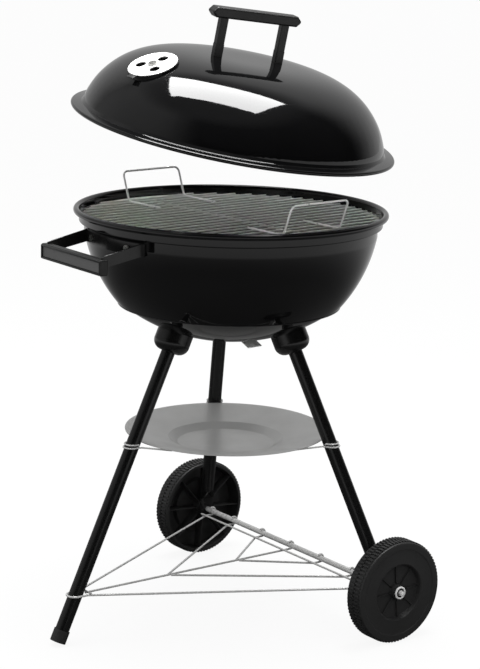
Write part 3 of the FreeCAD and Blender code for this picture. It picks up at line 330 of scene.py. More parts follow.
# Vitreous enamel: glass fired on steel, so it is deep black with mirror-sharp lights and a faint orange peel.
ENAMEL = Finish(
    "vitreous_enamel_black", "#060606", "#0a0a0b", 0.055, 0.02, ior=1.52,
    broad_mm=60, fine_mm=7.0, relief_mm=0.012,
)
# Polyester powder coat: baked on tube and strap, a little softer than enamel and more dimpled.
POWDER_COAT = Finish(
    "powder_coat_black", "#0a0a0a", "#101010", 0.2, 0.04, ior=1.5, broad_mm=25, fine_mm=1.6, relief_mm=0.008
)
# Phenolic moulding: heat-proof and matt, with the sparked grain of its mould, so lights spread wide on it.
PHENOLIC = Finish(
    "phenolic_moulding_black", "#090909", "#0e0e0e", 0.38, 0.05, ior=1.54,
    broad_mm=18, fine_mm=0.5, relief_mm=0.02,
)
# Grey inlay of the side grip: a flat matt plastic, paler than what is round it.
GREY_INLAY = Finish(
    "polyamide_inlay_grey", "#4c4c4c", "#545454", 0.55, 0.05, ior=1.53,
    broad_mm=14, fine_mm=0.6, relief_mm=0.02,
)
# Blow-moulded polyethylene wheel: a dull charcoal black with a waxy, slightly uneven skin.
POLYETHYLENE = Finish(
    "polyethylene_wheel_black", "#1f1f1f", "#262626", 0.5, 0.07, ior=1.51,
    broad_mm=12, fine_mm=0.7, relief_mm=0.025,
)
# Chromium-plated wire: bright plate with a light haze, so each rod carries one soft line of light.
CHROME_WIRE = Finish(
    "chrome_plated_wire", "#f6f6f5", "#eaeae9", 0.33, 0.03, 1.0, broad_mm=9, fine_mm=0.8, relief_mm=0.001
)
# Nickel-plated wire of the lifting bails: as pale as the grate, but softer.
NICKEL_WIRE = Finish(
    "nickel_plated_wire", "#f4f4f3", "#e6e6e5", 0.3, 0.04, 0.4, broad_mm=9, fine_mm=0.8, relief_mm=0.002
)
# Zinc-plated wire: greyer and softer than chrome, with a patchy bloom.
ZINC_WIRE = Finish(
    "zinc_plated_wire", "#d2d2d1", "#bdbdbc", 0.28, 0.07, 0.35, broad_mm=7, fine_mm=0.8, relief_mm=0.008
)
# Zinc-plated fasteners: pressed steel with a light bloom.
ZINC_FASTENER = Finish(
    "zinc_plated_fastener", "#b4b4b0", "#8d8d8a", 0.28, 0.08, 1.0, broad_mm=4, fine_mm=0.4, relief_mm=0.008
)
# Polished steel: rubbed bright, so it shows almost white under a broad light.
POLISHED_STEEL = Finish(
    "polished_steel", "#f4f4f3", "#ebebea", 0.25, 0.04, 0.3, broad_mm=10, fine_mm=0.5, relief_mm=0.004
)
# Spun aluminium: a dull grey sheet with the circles that the spinning tool leaves.
SPUN_ALUMINIUM = TurnedFinish(
    "spun_aluminium", "#b6b6b5", "#a9a9a8", 0.34, 0.05, 0.45, broad_mm=40, fine_mm=1.2, relief_mm=0.02,
    axis_x=AXIS.x, axis_y=AXIS.y,
)
# Wire of the fire grate, coloured near-black as painted shade, so the gaps under the cooking grate read dark:
# no light comes back from it but a dull edge.
CHARCOAL_GRATE_PAINTED_SHADE = Finish(
    "charcoal_grate_wire_painted_shade", "#3a3a39", "#2a2a29", 0.45, 0.08, 0.8, broad_mm=9, fine_mm=0.9, relief_mm=0.015
)

FINISHED_NODES: tuple[tuple[Finish, tuple[str, ...]], ...] = (
    (ENAMEL, ("bowl", "lid_shell")),
    (POLISHED_STEEL, ("bowl_damper", "lid_damper")),
    (ZINC_FASTENER, (
        "bowl_damper_rivet", "lid_damper_rivet", "lid_handle_screws", "side_handle_screws",
        "side_handle_nuts", "socket_bolts", "socket_nuts", "axle_spacers", "axle_push_nuts",
    )),
    (PHENOLIC, (
        "lid_handle", "lid_handle_standoff_front", "lid_handle_standoff_back", "side_handle_grip",
    )),
    (POWDER_COAT, (
        "side_handle_bracket", "leg_front", "leg_right", "leg_left", "leg_socket_front",
        "leg_socket_right", "leg_socket_left",
    )),
    (GREY_INLAY, ("side_handle_panel",)),
    (CHROME_WIRE, ("cooking_grate",)),
    (NICKEL_WIRE, ("grate_bails",)),
    # The fire grate's near-black colour is painted shade below the cooking grate.
    (CHARCOAL_GRATE_PAINTED_SHADE, ("charcoal_grate",)),
    (POLYETHYLENE, ("foot_cap", "wheel_right", "wheel_left")),
    (ZINC_WIRE, ("axle", "pan_clip_front", "pan_clip_right", "pan_clip_left", "bottom_rack")),
    (SPUN_ALUMINIUM, ("ash_pan",)),
)


def dress(piece: bpy.types.Object, finish: Finish) -> None:
    """Gives a piece its material.

    Args:
        piece: the piece.
        finish: its surface.
    """
    piece.data.materials.clear()
    piece.data.materials.append(finish.build())


# ---- modelling
def deselect() -> None:
    """Deselects every object."""
    bpy.ops.object.select_all(action="DESELECT")


def activate(piece: bpy.types.Object) -> None:
    """Makes one object the only selected one and the active one.

    Args:
        piece: the object.
    """
    deselect()
    piece.select_set(True)
    bpy.context.view_layer.objects.active = piece


@contextmanager
def editing(piece: bpy.types.Object, everything: bool = True) -> Iterator[None]:
    """Edit mode on one piece.

    Args:
        piece: the piece to shape.
        everything: whether all of it starts selected, or nothing.
    """
    activate(piece)
    bpy.ops.object.mode_set(mode="EDIT")
    bpy.ops.mesh.select_all(action="SELECT" if everything else "DESELECT")
    yield
    bpy.ops.object.mode_set(mode="OBJECT")


def chain(name: str, points: Sequence[Vector]) -> bpy.types.Object:
    """Draws a line of edges by extruding one vertex from point to point.

    Args:
        name: the piece's name.
        points: where the line goes.
    Returns:
        The piece, with no faces yet.
    """
    deselect()
    bpy.ops.mesh.primitive_plane_add(size=MM)
    piece = bpy.context.object
    piece.name = name
    with editing(piece):
        bpy.ops.mesh.merge(type="CENTER")
        bpy.ops.transform.translate(value=points[0])
        for before, after in zip(points, points[1:]):
            bpy.ops.mesh.extrude_region_move(TRANSFORM_OT_translate={"value": after - before})
    return piece


def fix_place() -> None:
    """Moves the selected objects' place, turn and scale into their meshes."""
    bpy.ops.object.transform_apply(location=True, rotation=True, scale=True)


def settle(piece: bpy.types.Object, place: Matrix | None = None) -> bpy.types.Object:
    """Moves a finished piece to its place, in its mesh, and shades it smooth.

    Args:
        piece: the piece, modelled about the world's origin.
        place: where it goes.
    Returns:
        The same piece.
    """
    activate(piece)
    if place is not None:
        piece.matrix_world = place @ piece.matrix_world
    fix_place()
    bpy.ops.object.shade_smooth_by_angle(angle=SMOOTH_ANGLE)
    return piece


def finish_modifier(piece: bpy.types.Object, kind: str, **settings: object) -> None:
    """Adds a modifier and applies it.

    Args:
        piece: the piece.
        kind: the modifier's type.
        settings: its values.
    """
    activate(piece)
    bpy.ops.object.modifier_add(type=kind)
    modifier = piece.modifiers[-1]
    for key, value in settings.items():
        setattr(modifier, key, value)
    bpy.ops.object.modifier_apply(modifier=modifier.name)


def joined(pieces: Sequence[bpy.types.Object], name: str) -> bpy.types.Object:
    """One object out of several.

    Args:
        pieces: what to join.
        name: the new object's name.
    Returns:
        The joined object.
    """
    activate(pieces[0])
    for piece in pieces:
        piece.select_set(True)
    if len(pieces) > 1:
        bpy.ops.object.join()
    result = bpy.context.view_layer.objects.active
    result.name = name
    result.data.name = name
    return result


def copies(piece: bpy.types.Object, places: Sequence[Matrix]) -> list[bpy.types.Object]:
    """Copies of a piece, each with its own mesh, at several places. The first is the piece itself.

    Args:
        piece: the piece, about the world's origin.
        places: where each copy goes.
    Returns:
        The copies.
    """
    result = [piece]
    for _ in places[1:]:
        activate(piece)
        bpy.ops.object.duplicate()
        result.append(bpy.context.object)
    for copy, place in zip(result, places):
        copy.matrix_world = place
        activate(copy)
        fix_place()
    return result


def turned(name: str, points: Sequence[Vector], steps: int, closed: bool = True) -> bpy.types.Object:
    """Turns an outline in the XZ plane once round the Z axis.

    Args:
        name: the piece's name.
        points: the outline, from one end to the other.
        steps: how many flats the turn has.
        closed: whether the outline's ends are joined.
    Returns:
        The turned piece, about the world's origin.
    """
    outline = list(points) + ([points[0]] if closed else [])
    piece = chain(name, outline)
    with editing(piece):
        bpy.ops.mesh.remove_doubles(threshold=MERGE)
        bpy.ops.mesh.select_all(action="SELECT")
        bpy.ops.mesh.spin(steps=steps, angle=FULL_TURN, center=(0, 0, 0), axis=(0, 0, 1))
        bpy.ops.mesh.select_all(action="SELECT")
        bpy.ops.mesh.remove_doubles(threshold=MERGE)
        bpy.ops.mesh.normals_make_consistent(inside=False)
    return piece


def rz(radius: float, z: float) -> Vector:
    """Point of an outline that is turned about Z.

    Args:
        radius: its distance from Z.
        z: its height.
    Returns:
        The point, in the XZ plane.
    """
    return Vector((radius, 0, z))


def rounded(points: Sequence[Vector], radii: dict[int, float], steps: int = 4) -> list[Vector]:
    """Rounds chosen corners of a line of points.

    Args:
        points: the line.
        radii: radius for each rounded corner, by the point's number.
        steps: how many flats each rounding has.
    Returns:
        The line with arcs in place of those corners.
    """
    result: list[Vector] = []
    for index, corner in enumerate(points):
        radius = radii.get(index, 0.0)
        if not radius:
            result.append(corner)
            continue
        back = (points[index - 1] - corner).normalized()
        ahead = (points[(index + 1) % len(points)] - corner).normalized()
        half = back.angle(ahead) / 2
        trim = radius / math.tan(half)
        middle = corner + (back + ahead).normalized() * (radius / math.sin(half))
        start = corner + back * trim - middle
        end = corner + ahead * trim - middle
        axis = start.cross(end).normalized()
        sweep = start.angle(end)
        result += [middle + Matrix.Rotation(sweep * i / steps, 3, axis) @ start for i in range(steps + 1)]
    return result


def set_along(base: Vector, direction: Vector) -> Matrix:
    """Placement of a piece that is made along +Z from the world's origin.

    Args:
        base: where the origin goes.
        direction: where +Z points.
    Returns:
        The placement.
    """
    return Matrix.Translation(base) @ UP.rotation_difference(direction).to_matrix().to_4x4()


def placed(piece: bpy.types.Object, finish: Finish, body: Body, node: str | None = None) -> None:
    """Dresses a finished piece and puts it on its body.

    Args:
        piece: the piece, in its place.
        finish: its surface.
        body: what it rides on.
        node: the CAD node it stands for, if any.
    """
    dress(piece, finish)
    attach(piece, body.value)
    if node:
        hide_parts(node)
    log.info("%s: %d faces", piece.name, len(piece.data.polygons))


def drum(radius: float, low: float, high: float, steps: int = 48) -> bpy.types.Object:
    """Plain upright cylinder about the world's origin.

    Args:
        radius: its radius.
        low: its foot.
        high: its top.
        steps: how many flats it has.
    Returns:
        The cylinder.
    """
    deselect()
    bpy.ops.mesh.primitive_cylinder_add(
        vertices=steps, radius=radius, depth=high - low, location=(0, 0, (low + high) / 2)
    )
    fix_place()
    return bpy.context.object


def block(size: Sequence[float], middle: Sequence[float] = (0, 0, 0)) -> bpy.types.Object:
    """Box along the axes.

    Args:
        size: its three sides.
        middle: where its middle is.
    Returns:
        The box.
    """
    deselect()
    bpy.ops.mesh.primitive_cube_add(size=1, location=middle)
    bpy.context.object.scale = size
    fix_place()
    return bpy.context.object


def hoop(radius: float, bar: float, steps: int, flats: int) -> bpy.types.Object:
    """Round bar bent into a level ring about the world's origin.

    Args:
        radius: the ring's radius, to the bar's middle.
        bar: the bar's radius.
        steps: how many flats the ring has.
        flats: how many flats the bar has.
    Returns:
        The ring.
    """
    deselect()
    bpy.ops.mesh.primitive_torus_add(
        major_segments=steps, minor_segments=flats, major_radius=radius, minor_radius=bar
    )
    return bpy.context.object


def pierce(piece: bpy.types.Object, cutters: Sequence[bpy.types.Object]) -> None:
    """Cuts holes through a piece.

    Args:
        piece: the piece.
        cutters: the holes' solids, which are used up.
    """
    cutter = joined(cutters, "hole_cutter")
    finish_modifier(piece, "BOOLEAN", object=cutter, operation="DIFFERENCE", solver="EXACT")
    activate(cutter)
    bpy.ops.object.delete()


def vent_cutters(
    radius: float, circle: float, low: float, high: float, start: float = 0.0
) -> list[bpy.types.Object]:
    """Solids of the air holes, set evenly on a circle, and of the rivet's hole in their middle.

    Args:
        radius: each air hole's radius.
        circle: radius of the circle that their middles lie on.
        low: foot of each solid.
        high: top of each solid.
        start: where the first air hole lies, in degrees from +X.
    Returns:
        The solids, about the world's origin.
    """
    cutters = []
    for index in range(VENTS):
        cutter = drum(radius, low, high)
        turn = Matrix.Rotation(FULL_TURN * index / VENTS + math.radians(start), 4, "Z")
        cutters.append(settle(cutter, turn @ Matrix.Translation((circle, 0, 0))))
    return cutters + [drum(RIVET_HOLE, low, high)]


# ---- bowl
@dataclass
class Bowl:
    """Enamelled bowl: one sheet with soft pressed corners, a grate ledge, a step and a rolled rim."""

    sheet: float = 0.001
    rim_radius: float = 0.225
    rim_top: float = 0.602
    roll: float = 0.0045
    roll_sweep: float = 310
    roll_steps: int = 20
    ledge: float = 0.582
    ledge_round: float = 0.0015
    wall: float = 0.2096
    floor_edge: Point = (0.055, 0.418)
    floor_round: float = 0.004
    haunch: Point = (0.111, 0.4365)
    haunch_steps: int = 22
    step_inner: Point = (0.154, 0.463)
    step_outer: Point = (0.159, 0.463)
    step_round: float = 0.0022
    belly: Point = (0.1915, 0.512)
    belly_top: float = 0.568
    belly_steps: int = 30
    corner_steps: int = 5
    steps: int = 256
    vent_radius: float = 0.010
    vent_circle: float = 0.024
    vent_cut: float = 0.008
    bead: float = 0.0011
    bead_flats: int = 12
    bead_rings: tuple[Point, ...] = ((0.1598, 0.4640), (0.1536, 0.4626))

    def arc_points(self, low: Vector, middle: Vector, high: Vector, count: int) -> list[Vector]:
        """Points of the circle through three points.

        Args:
            low: where the arc starts.
            middle: a point that it passes.
            high: where it ends.
            count: how many flats it has.
        Returns:
            The points, with both ends.
        """
        first, second = middle - low, high - low
        scale = 1 / (2 * (first.x * second.z - first.z * second.x))
        centre = low + Vector((
            (second.z * first.length_squared - first.z * second.length_squared) * scale,
            0,
            (first.x * second.length_squared - second.x * first.length_squared) * scale,
        ))
        start, end = low - centre, high - centre
        begin = math.atan2(start.z, start.x)
        sweep = (math.atan2(end.z, end.x) - begin) % FULL_TURN
        turns = [begin + sweep * i / count for i in range(count + 1)]
        return [centre + rz(math.cos(turn), math.sin(turn)) * start.length for turn in turns]

    def side(self) -> list[Vector]:
        """Outer face, from the floor's middle to the foot of the rim.

        Returns:
            The outline.
        """
        collar = self.rim_radius - 2 * self.roll + self.sheet
        haunch = self.arc_points(
            rz(*self.floor_edge), rz(*self.haunch), rz(*self.step_inner), self.haunch_steps
        )
        belly = self.arc_points(
            rz(*self.step_outer), rz(*self.belly), rz(self.wall, self.belly_top), self.belly_steps
        )
        points = [
            rz(0.0, self.floor_edge[1]), *haunch, *belly, rz(self.wall, self.ledge), rz(collar, self.ledge),
            rz(collar, self.rim_top - self.roll),
        ]
        step = len(haunch)
        soft = {
            1: self.floor_round,
            step: self.step_round,
            step + 1: self.step_round,
            len(points) - 3: self.ledge_round,
            len(points) - 2: self.ledge_round,
        }
        return rounded(points, soft, self.corner_steps)

    def roll_face(self, radius: float) -> list[Vector]:
        """One face of the rolled rim, from the collar round to the roll's end.

        Args:
            radius: the face's distance from the roll's middle.
        Returns:
            The outline.
        """
        centre = rz(self.rim_radius - self.roll, self.rim_top - self.roll)
        sweep = math.radians(self.roll_sweep)
        turns = [math.pi - sweep * i / self.roll_steps for i in range(1, self.roll_steps + 1)]
        return [centre + rz(math.cos(turn), math.sin(turn)) * radius for turn in turns]

    def build(self) -> None:
        """Makes the bowl with its vents and puts it on the stand."""
        outer = self.side()
        inner = []
        for index, point in enumerate(outer):
            before = outer[max(index - 1, 0)]
            after = outer[min(index + 1, len(outer) - 1)]
            run = (after - before).normalized()
            inner.append(point + Vector((-run.z, 0, run.x)) * self.sheet)
        inner[0] = rz(0, outer[0].z + self.sheet)
        under, over = self.roll_face(self.roll - self.sheet), self.roll_face(self.roll)
        outline = outer + under + over[::-1] + inner[::-1]
        bowl = turned("bowl_detail", outline, self.steps)
        low, high = self.floor_edge[1] - self.vent_cut, self.floor_edge[1] + self.vent_cut
        pierce(bowl, vent_cutters(self.vent_radius, self.vent_circle, low, high))
        settle(bowl, Matrix.Translation(AXIS))
        placed(bowl, ENAMEL, Body.STAND, "bowl")
        self.beads()

    def beads(self) -> None:
        """Two fine pressed beads that run round the bowl at its step."""
        rings = []
        for radius, height in self.bead_rings:
            ring = hoop(radius, self.bead, self.steps, self.bead_flats)
            rings.append(settle(ring, Matrix.Translation(AXIS + UP * height)))
        placed(joined(rings, "bowl_step_beads"), ENAMEL, Body.STAND)


# ---- ash pan
@dataclass
class AshPan:
    """Spun dish: a flat lip with a rounded bend, a long shallow slope and a sunken middle with soft edges."""

    sheet: float = 0.001
    well_radius: float = 0.070
    well_height: float = 0.255
    well_round: float = 0.006
    slope_foot: Point = (0.084, 0.263)
    slope_round: float = 0.004
    lip_foot: float = 0.1434
    lip_edge: float = 0.1474
    lip_height: float = 0.2754
    lip_round: float = 0.002
    corner_steps: int = 5
    steps: int = 192

    def build(self) -> None:
        """Makes the pan and puts it on its body."""
        under = [
            rz(0.0, self.well_height), rz(self.well_radius, self.well_height), rz(*self.slope_foot),
            rz(self.lip_foot, self.lip_height), rz(self.lip_edge, self.lip_height),
        ]
        over = [point + UP * self.sheet for point in under]
        soft = {}
        for index, radius in ((1, self.well_round), (2, self.slope_round), (3, self.lip_round)):
            soft[index] = radius
            soft[2 * len(under) - 1 - index] = radius
        outline = rounded(under + over[::-1], soft, self.corner_steps)
        pan = turned("ash_pan_detail", outline, self.steps)
        settle(pan, Matrix.Translation(AXIS))
        placed(pan, SPUN_ALUMINIUM, Body.ASH_PAN, "ash_pan")


# ---- side handle
@dataclass
class SideHandle:
    """Small forms of the side handle: folded upper edges of its arms and the raised border of its grip."""

    bead: float = 0.0012
    bead_sink: float = 0.0004
    bead_flats: int = 16
    arm_x: float = 0.068
    strap_radius: float = 0.2109
    fall: float = 0.013
    border: float = 0.0015
    border_inset: float = 0.0024

    def bead_between(self, name: str, start: Vector, end: Vector, radius: float) -> bpy.types.Object:
        """Round-ended bead between two points.

        Args:
            name: the piece's name.
            start: one end.
            end: the other end.
            radius: the bead's radius.
        Returns:
            The bead.
        """
        run = end - start
        slant = radius * 0.7
        outline = [
            rz(0, -radius), rz(slant, -slant), rz(radius, 0),
            rz(radius, run.length), rz(slant, run.length + slant), rz(0, run.length + radius),
        ]
        bead = turned(name, outline, self.bead_flats, closed=False)
        return settle(bead, set_along(start, run.normalized()))

    def arms(self) -> None:
        """Folded edge along the top of each arm."""
        low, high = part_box("side_handle_bracket")
        grip_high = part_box("side_handle_grip")[1]
        root = AXIS.y - math.sqrt(self.strap_radius ** 2 - self.arm_x ** 2)
        slope = self.fall / (root - low.y)
        beads = []
        for side in (-1, 1):
            start = Vector((side * self.arm_x, root, high.z - self.bead_sink))
            end = Vector((side * self.arm_x, grip_high.y, start.z - slope * (root - grip_high.y)))
            beads.append(self.bead_between("arm_edge", start, end, self.bead))
        edge = joined(beads, "side_handle_arm_edges")
        placed(edge, POWDER_COAT, Body.STAND)

    def rim(self) -> None:
        """Raised border round the grip's panel."""
        low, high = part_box("side_handle_grip")
        left, right = low.x + self.border_inset, high.x - self.border_inset
        foot, top = low.z + self.border_inset, high.z - self.border_inset
        corners = [Vector((x, low.y, z)) for x, z in ((left, foot), (right, foot), (right, top), (left, top))]
        sides = [
            self.bead_between("grip_edge", start, end, self.border)
            for start, end in zip(corners, corners[1:] + corners[:1])
        ]
        border = joined(sides, "side_handle_grip_border")
        placed(border, PHENOLIC, Body.STAND)

    def build(self) -> None:
        """Makes both."""
        self.arms()
        self.rim()


# ---- lid
@dataclass
class Lid:
    """Rolled lip of the hanging lid, and its turning damper with tab and rivet."""

    hang: float = 0.7136
    tilt: float = 10.12
    low_side: float = 32.4
    dome_radius: float = 0.2156
    dome_rise: float = 0.0945
    dome_foot: float = 0.0076
    dome_power: float = 3.96
    dome_root: float = 1.43
    lip_radius: float = 0.2298
    lip_roll: float = 0.00286
    lip_steps: int = 320
    lip_flats: int = 20
    damper_at: float = 0.155
    damper_side: float = 269.0
    damper_radius: float = 0.035
    damper_sheet: float = 0.0012
    damper_steps: int = 128
    fold_rise: float = 0.0002
    fold_width: float = 0.0022
    fold_slope: float = 0.0004
    seat: float = 0.0003
    pad_raise: float = 0.0006
    vent_radius: float = 0.0075
    vent_circle: float = 0.018
    vent_turn: float = 94.0
    vent_cut: Point = (-0.002, 0.004)
    tab_turn: float = 277.0
    tab_length: float = 0.008
    tab_lap: float = 0.010
    tab_width: float = 0.014
    tab_slack: float = 0.0002
    tab_edge: float = 0.0003
    shank: Point = (0.003, -0.004)
    head_gap: float = 0.0003
    head: tuple[Point, ...] = (
        (0.006, 0), (0.0058, 0.0012), (0.0042, 0.0019), (0.0026, 0.0016), (0.002, 0.0006),
    )
    head_steps: int = 48

    def frame(self) -> Matrix:
        """Where the lid hangs.

        Returns:
            The placement of the lid's own frame.
        """
        turn = math.radians(self.low_side + 90)
        axis = Vector((math.cos(turn), math.sin(turn), 0))
        return Matrix.Translation(AXIS + UP * self.hang) @ Matrix.Rotation(math.radians(self.tilt), 4, axis)

    def dome_height(self, radius: float) -> float:
        """Height of the dome's outer face, in the lid's own frame.

        Args:
            radius: distance from the lid's axis.
        Returns:
            The height.
        """
        fall = (radius / self.dome_radius) ** self.dome_power
        return self.dome_foot + self.dome_rise * (1 - fall) ** (1 / self.dome_root)

    def damper_frame(self) -> Matrix:
        """Middle of the damper's seat.

        Returns:
            The placement, with +Z along the damper's rivet.
        """
        step = MM / 2
        fall = self.dome_height(self.damper_at + step) - self.dome_height(self.damper_at - step)
        turn = math.radians(self.damper_side)
        out = Vector((math.cos(turn), math.sin(turn), 0))
        normal = (UP - out * (fall / (2 * step))).normalized()
        seat = out * self.damper_at + UP * self.dome_height(self.damper_at) + normal * self.pad_raise
        return self.frame() @ set_along(seat, normal)

    def lip(self) -> None:
        """Rolled lip as a smooth bead all round."""
        lip = hoop(self.lip_radius, self.lip_roll, self.lip_steps, self.lip_flats)
        lip.name = "lid_rolled_lip"
        settle(lip, self.frame())
        placed(lip, ENAMEL, Body.LID)

    def disc(self) -> None:
        """Polished disc with a folded edge and three vents."""
        r, low, top = self.damper_radius, self.seat, self.seat + self.damper_sheet
        fold, fold_top = r - self.fold_width, top + self.fold_rise
        outline = [
            rz(0, low), rz(r, low), rz(r, fold_top), rz(fold, fold_top),
            rz(fold - self.fold_slope, top), rz(0, top),
        ]
        soft = {1: 0.0004, 2: 0.0006, 3: 0.0003}
        disc = turned("lid_damper_disc", rounded(outline, soft, 3), self.damper_steps)
        pierce(disc, vent_cutters(self.vent_radius, self.vent_circle, *self.vent_cut, self.vent_turn))
        settle(disc, self.damper_frame())
        placed(disc, POLISHED_STEEL, Body.LID_DAMPER, "lid_damper")

    def tab(self) -> None:
        """Tab that is held under the disc's edge, coloured black: a painted dark reflection, the dark
        surroundings that a polished tab mirrors.
        """
        length = self.tab_length + self.tab_lap
        tab = block((length, self.tab_width, self.damper_sheet - self.tab_slack))
        tab.name = "lid_damper_tab_painted_reflection"
        finish_modifier(tab, "BEVEL", width=self.tab_edge, segments=3)
        middle = rz(self.damper_radius + self.tab_length - length / 2, self.seat + self.damper_sheet / 2)
        turn = Matrix.Rotation(math.radians(self.tab_turn), 4, "Z")
        settle(tab, self.damper_frame() @ turn @ Matrix.Translation(middle))
        # The tab's black phenolic colour is a painted reflection of the dark surroundings.
        placed(tab, PHENOLIC, Body.LID_DAMPER)

    def rivet(self) -> None:
        """Tubular rivet: a domed head with a sunken middle."""
        top = self.seat + self.damper_sheet + self.head_gap
        radius, low = self.shank
        head = [rz(r, top + rise) for r, rise in self.head]
        outline = [rz(0, low), rz(radius, low), rz(radius, top), *head, rz(0, head[-1].z)]
        soft = {4: 0.0006, 5: 0.0006, 6: 0.0005}
        rivet = turned("lid_damper_rivet_head", rounded(outline, soft, 3), self.head_steps)
        settle(rivet, self.damper_frame())
        placed(rivet, ZINC_FASTENER, Body.LID)

    def build(self) -> None:
        """Makes the lip, the disc, its tab and its rivet."""
        self.lip()
        self.disc()
        self.tab()
        self.rivet()


# ---- wheels
@dataclass
class Wheel:
    """Moulded wheel with a lugged tread, a dished outer side and an open, ribbed inner side."""

    name: str
    node: str
    body: Body
    side: int
    lugs: int = 84
    lug_height: float = 0.0018
    lug_taper: float = 0.97
    tread_edge: float = 0.0028
    groove: float = 0.0016
    groove_depth: float = 0.0012
    band: float = 0.0085
    web: float = 0.003
    dish_radius: float = 0.041
    dish_depth: float = 0.0085
    hub_radius: float = 0.0115
    bore_radius: float = 0.0041
    ribs: int = 8
    rib_width: float = 0.0018
    rib_taper: float = 0.6
    rib_turn: float = 0.1
    hub_sink: float = 0.0006
    collar_seat: float = 0.0012
    web_sink: float = 0.0015

    def __post_init__(self) -> None:
        """Takes the wheel's place and size from its node."""
        low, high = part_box(self.node)
        self.width = high.x - low.x
        self.radius = (high.z - low.z) / 2
        inner_x = low.x if self.side > 0 else high.x
        self.inner_face = Vector((inner_x, (low.y + high.y) / 2, (low.z + high.z) / 2))

    def outline(self) -> list[Vector]:
        """Half section: inner side at z = 0, outer side at z = the width.

        Returns:
            The outline, from the bore's inner end out over the tread and back to the bore.
        """
        base = self.radius - self.lug_height
        w = self.width
        mid = w / 2
        edge = self.tread_edge
        half = self.groove / 2
        web_in = w - self.web_sink - self.web
        floor = w - self.dish_depth
        band_in = self.radius - self.band
        side = self.radius - edge
        corners = [
            rz(self.bore_radius, self.hub_sink),
            rz(self.hub_radius, self.hub_sink),
            rz(self.hub_radius + 0.0008, floor - self.web),
            rz(self.dish_radius + self.web - 0.002, floor - self.web),
            rz(self.dish_radius + self.web, web_in),
            rz(band_in, web_in),
            rz(band_in + 0.0015, 0),
            rz(side, 0),
            rz(base, edge * 0.6),
            rz(base, edge),
            rz(base, mid - half),
            rz(base - self.groove_depth, mid - half * 0.6),
            rz(base - self.groove_depth, mid + half * 0.6),
            rz(base, mid + half),
            rz(base, w - edge),
            rz(base, w - edge * 0.6),
            rz(side, w),
            rz(side - 0.009, w - 0.0002),
            rz(side - 0.0098, w - 0.0009),
            rz(self.dish_radius + 0.0045, w - 0.0012),
            rz(self.dish_radius + 0.001, w - 0.0006),
            rz(self.dish_radius - 0.0006, w - 0.0016),
            rz(self.dish_radius - 0.0022, floor),
            rz(self.hub_radius + 0.0005, floor),
            rz(self.hub_radius - 0.0008, w - self.collar_seat),
            rz(self.bore_radius, w - self.collar_seat),
        ]
        soft = {
            4: 0.0008, 7: 0.0008, 8: 0.0005, 15: 0.0005, 16: 0.001,
            20: 0.0006, 21: 0.0006, 22: 0.0016, 23: 0.0008,
        }
        return rounded(corners, soft, 3)

    def raise_lugs(self, wheel: bpy.types.Object) -> None:
        """Raises every other flat of both tread rows, half a pitch apart.

        Args:
            wheel: the turned wheel.
        """
        base = self.radius - self.lug_height
        pitch = FULL_TURN / self.lugs
        with editing(wheel, everything=False):
            bpy.ops.mesh.select_mode(type="FACE")
        for face in wheel.data.polygons:
            middle = face.center
            on_tread = math.hypot(middle.x, middle.y) > base * math.cos(pitch / 2)
            upright = abs(face.normal.z) < 0.1
            heights = [wheel.data.vertices[i].co.z for i in face.vertices]
            wide = max(heights) - min(heights) > self.tread_edge * 2
            row = 0 if middle.z < self.width / 2 else 1
            turn = math.atan2(middle.y, middle.x) / pitch + row * 0.5
            face.select = on_tread and upright and wide and (turn % 1.0) < 0.5
        bpy.ops.object.mode_set(mode="EDIT")
        bpy.ops.mesh.extrude_region_shrink_fatten(TRANSFORM_OT_shrink_fatten={"value": self.lug_height})
        bpy.ops.transform.resize(value=(1, 1, self.lug_taper))
        bpy.ops.mesh.select_mode(type="VERT")
        bpy.ops.object.mode_set(mode="OBJECT")

    def rib(self, low: float, high: float, start: float, end: float, foot: float) -> bpy.types.Object:
        """One rib, from a radius to another, thinner at its free edge.

        Args:
            low: its lower face.
            high: its upper face.
            start: inner radius.
            end: outer radius.
            foot: height of the end that is welded to the web, low or high.
        Returns:
            The rib, along +X.
        """
        rib = block((end - start, self.rib_width, high - low), rz((start + end) / 2, (low + high) / 2))
        with editing(rib, everything=False):
            bpy.ops.mesh.select_mode(type="VERT")
        for vertex in rib.data.vertices:
            vertex.select = abs(vertex.co.z - foot) > (high - low) / 2
        bpy.ops.object.mode_set(mode="EDIT")
        bpy.ops.transform.resize(value=(1, self.rib_taper, 1))
        bpy.ops.object.mode_set(mode="OBJECT")
        finish_modifier(rib, "BEVEL", width=0.0003, segments=2)
        return rib

    def build(self) -> None:
        """Makes the wheel and puts it on its body."""
        wheel = turned(self.name, self.outline(), 2 * self.lugs)
        self.raise_lugs(wheel)
        pitch = FULL_TURN / self.ribs
        turns = [Matrix.Rotation(pitch * (i + self.rib_turn), 4, "Z") for i in range(self.ribs)]
        floor = self.width - self.dish_depth
        back = floor - self.web
        inner = self.rib(0.002, back + 0.0005, self.hub_radius, self.radius - self.band + 0.0008, back)
        start, end = self.hub_radius - 0.0005, self.dish_radius - 0.0012
        outer = self.rib(floor - 0.0003, floor + 0.0024, start, end, floor)
        wheel = joined([wheel, *copies(inner, turns), *copies(outer, turns)], self.name)
        settle(wheel, set_along(self.inner_face, Vector((self.side, 0, 0))))
        placed(wheel, POLYETHYLENE, self.body, self.node)


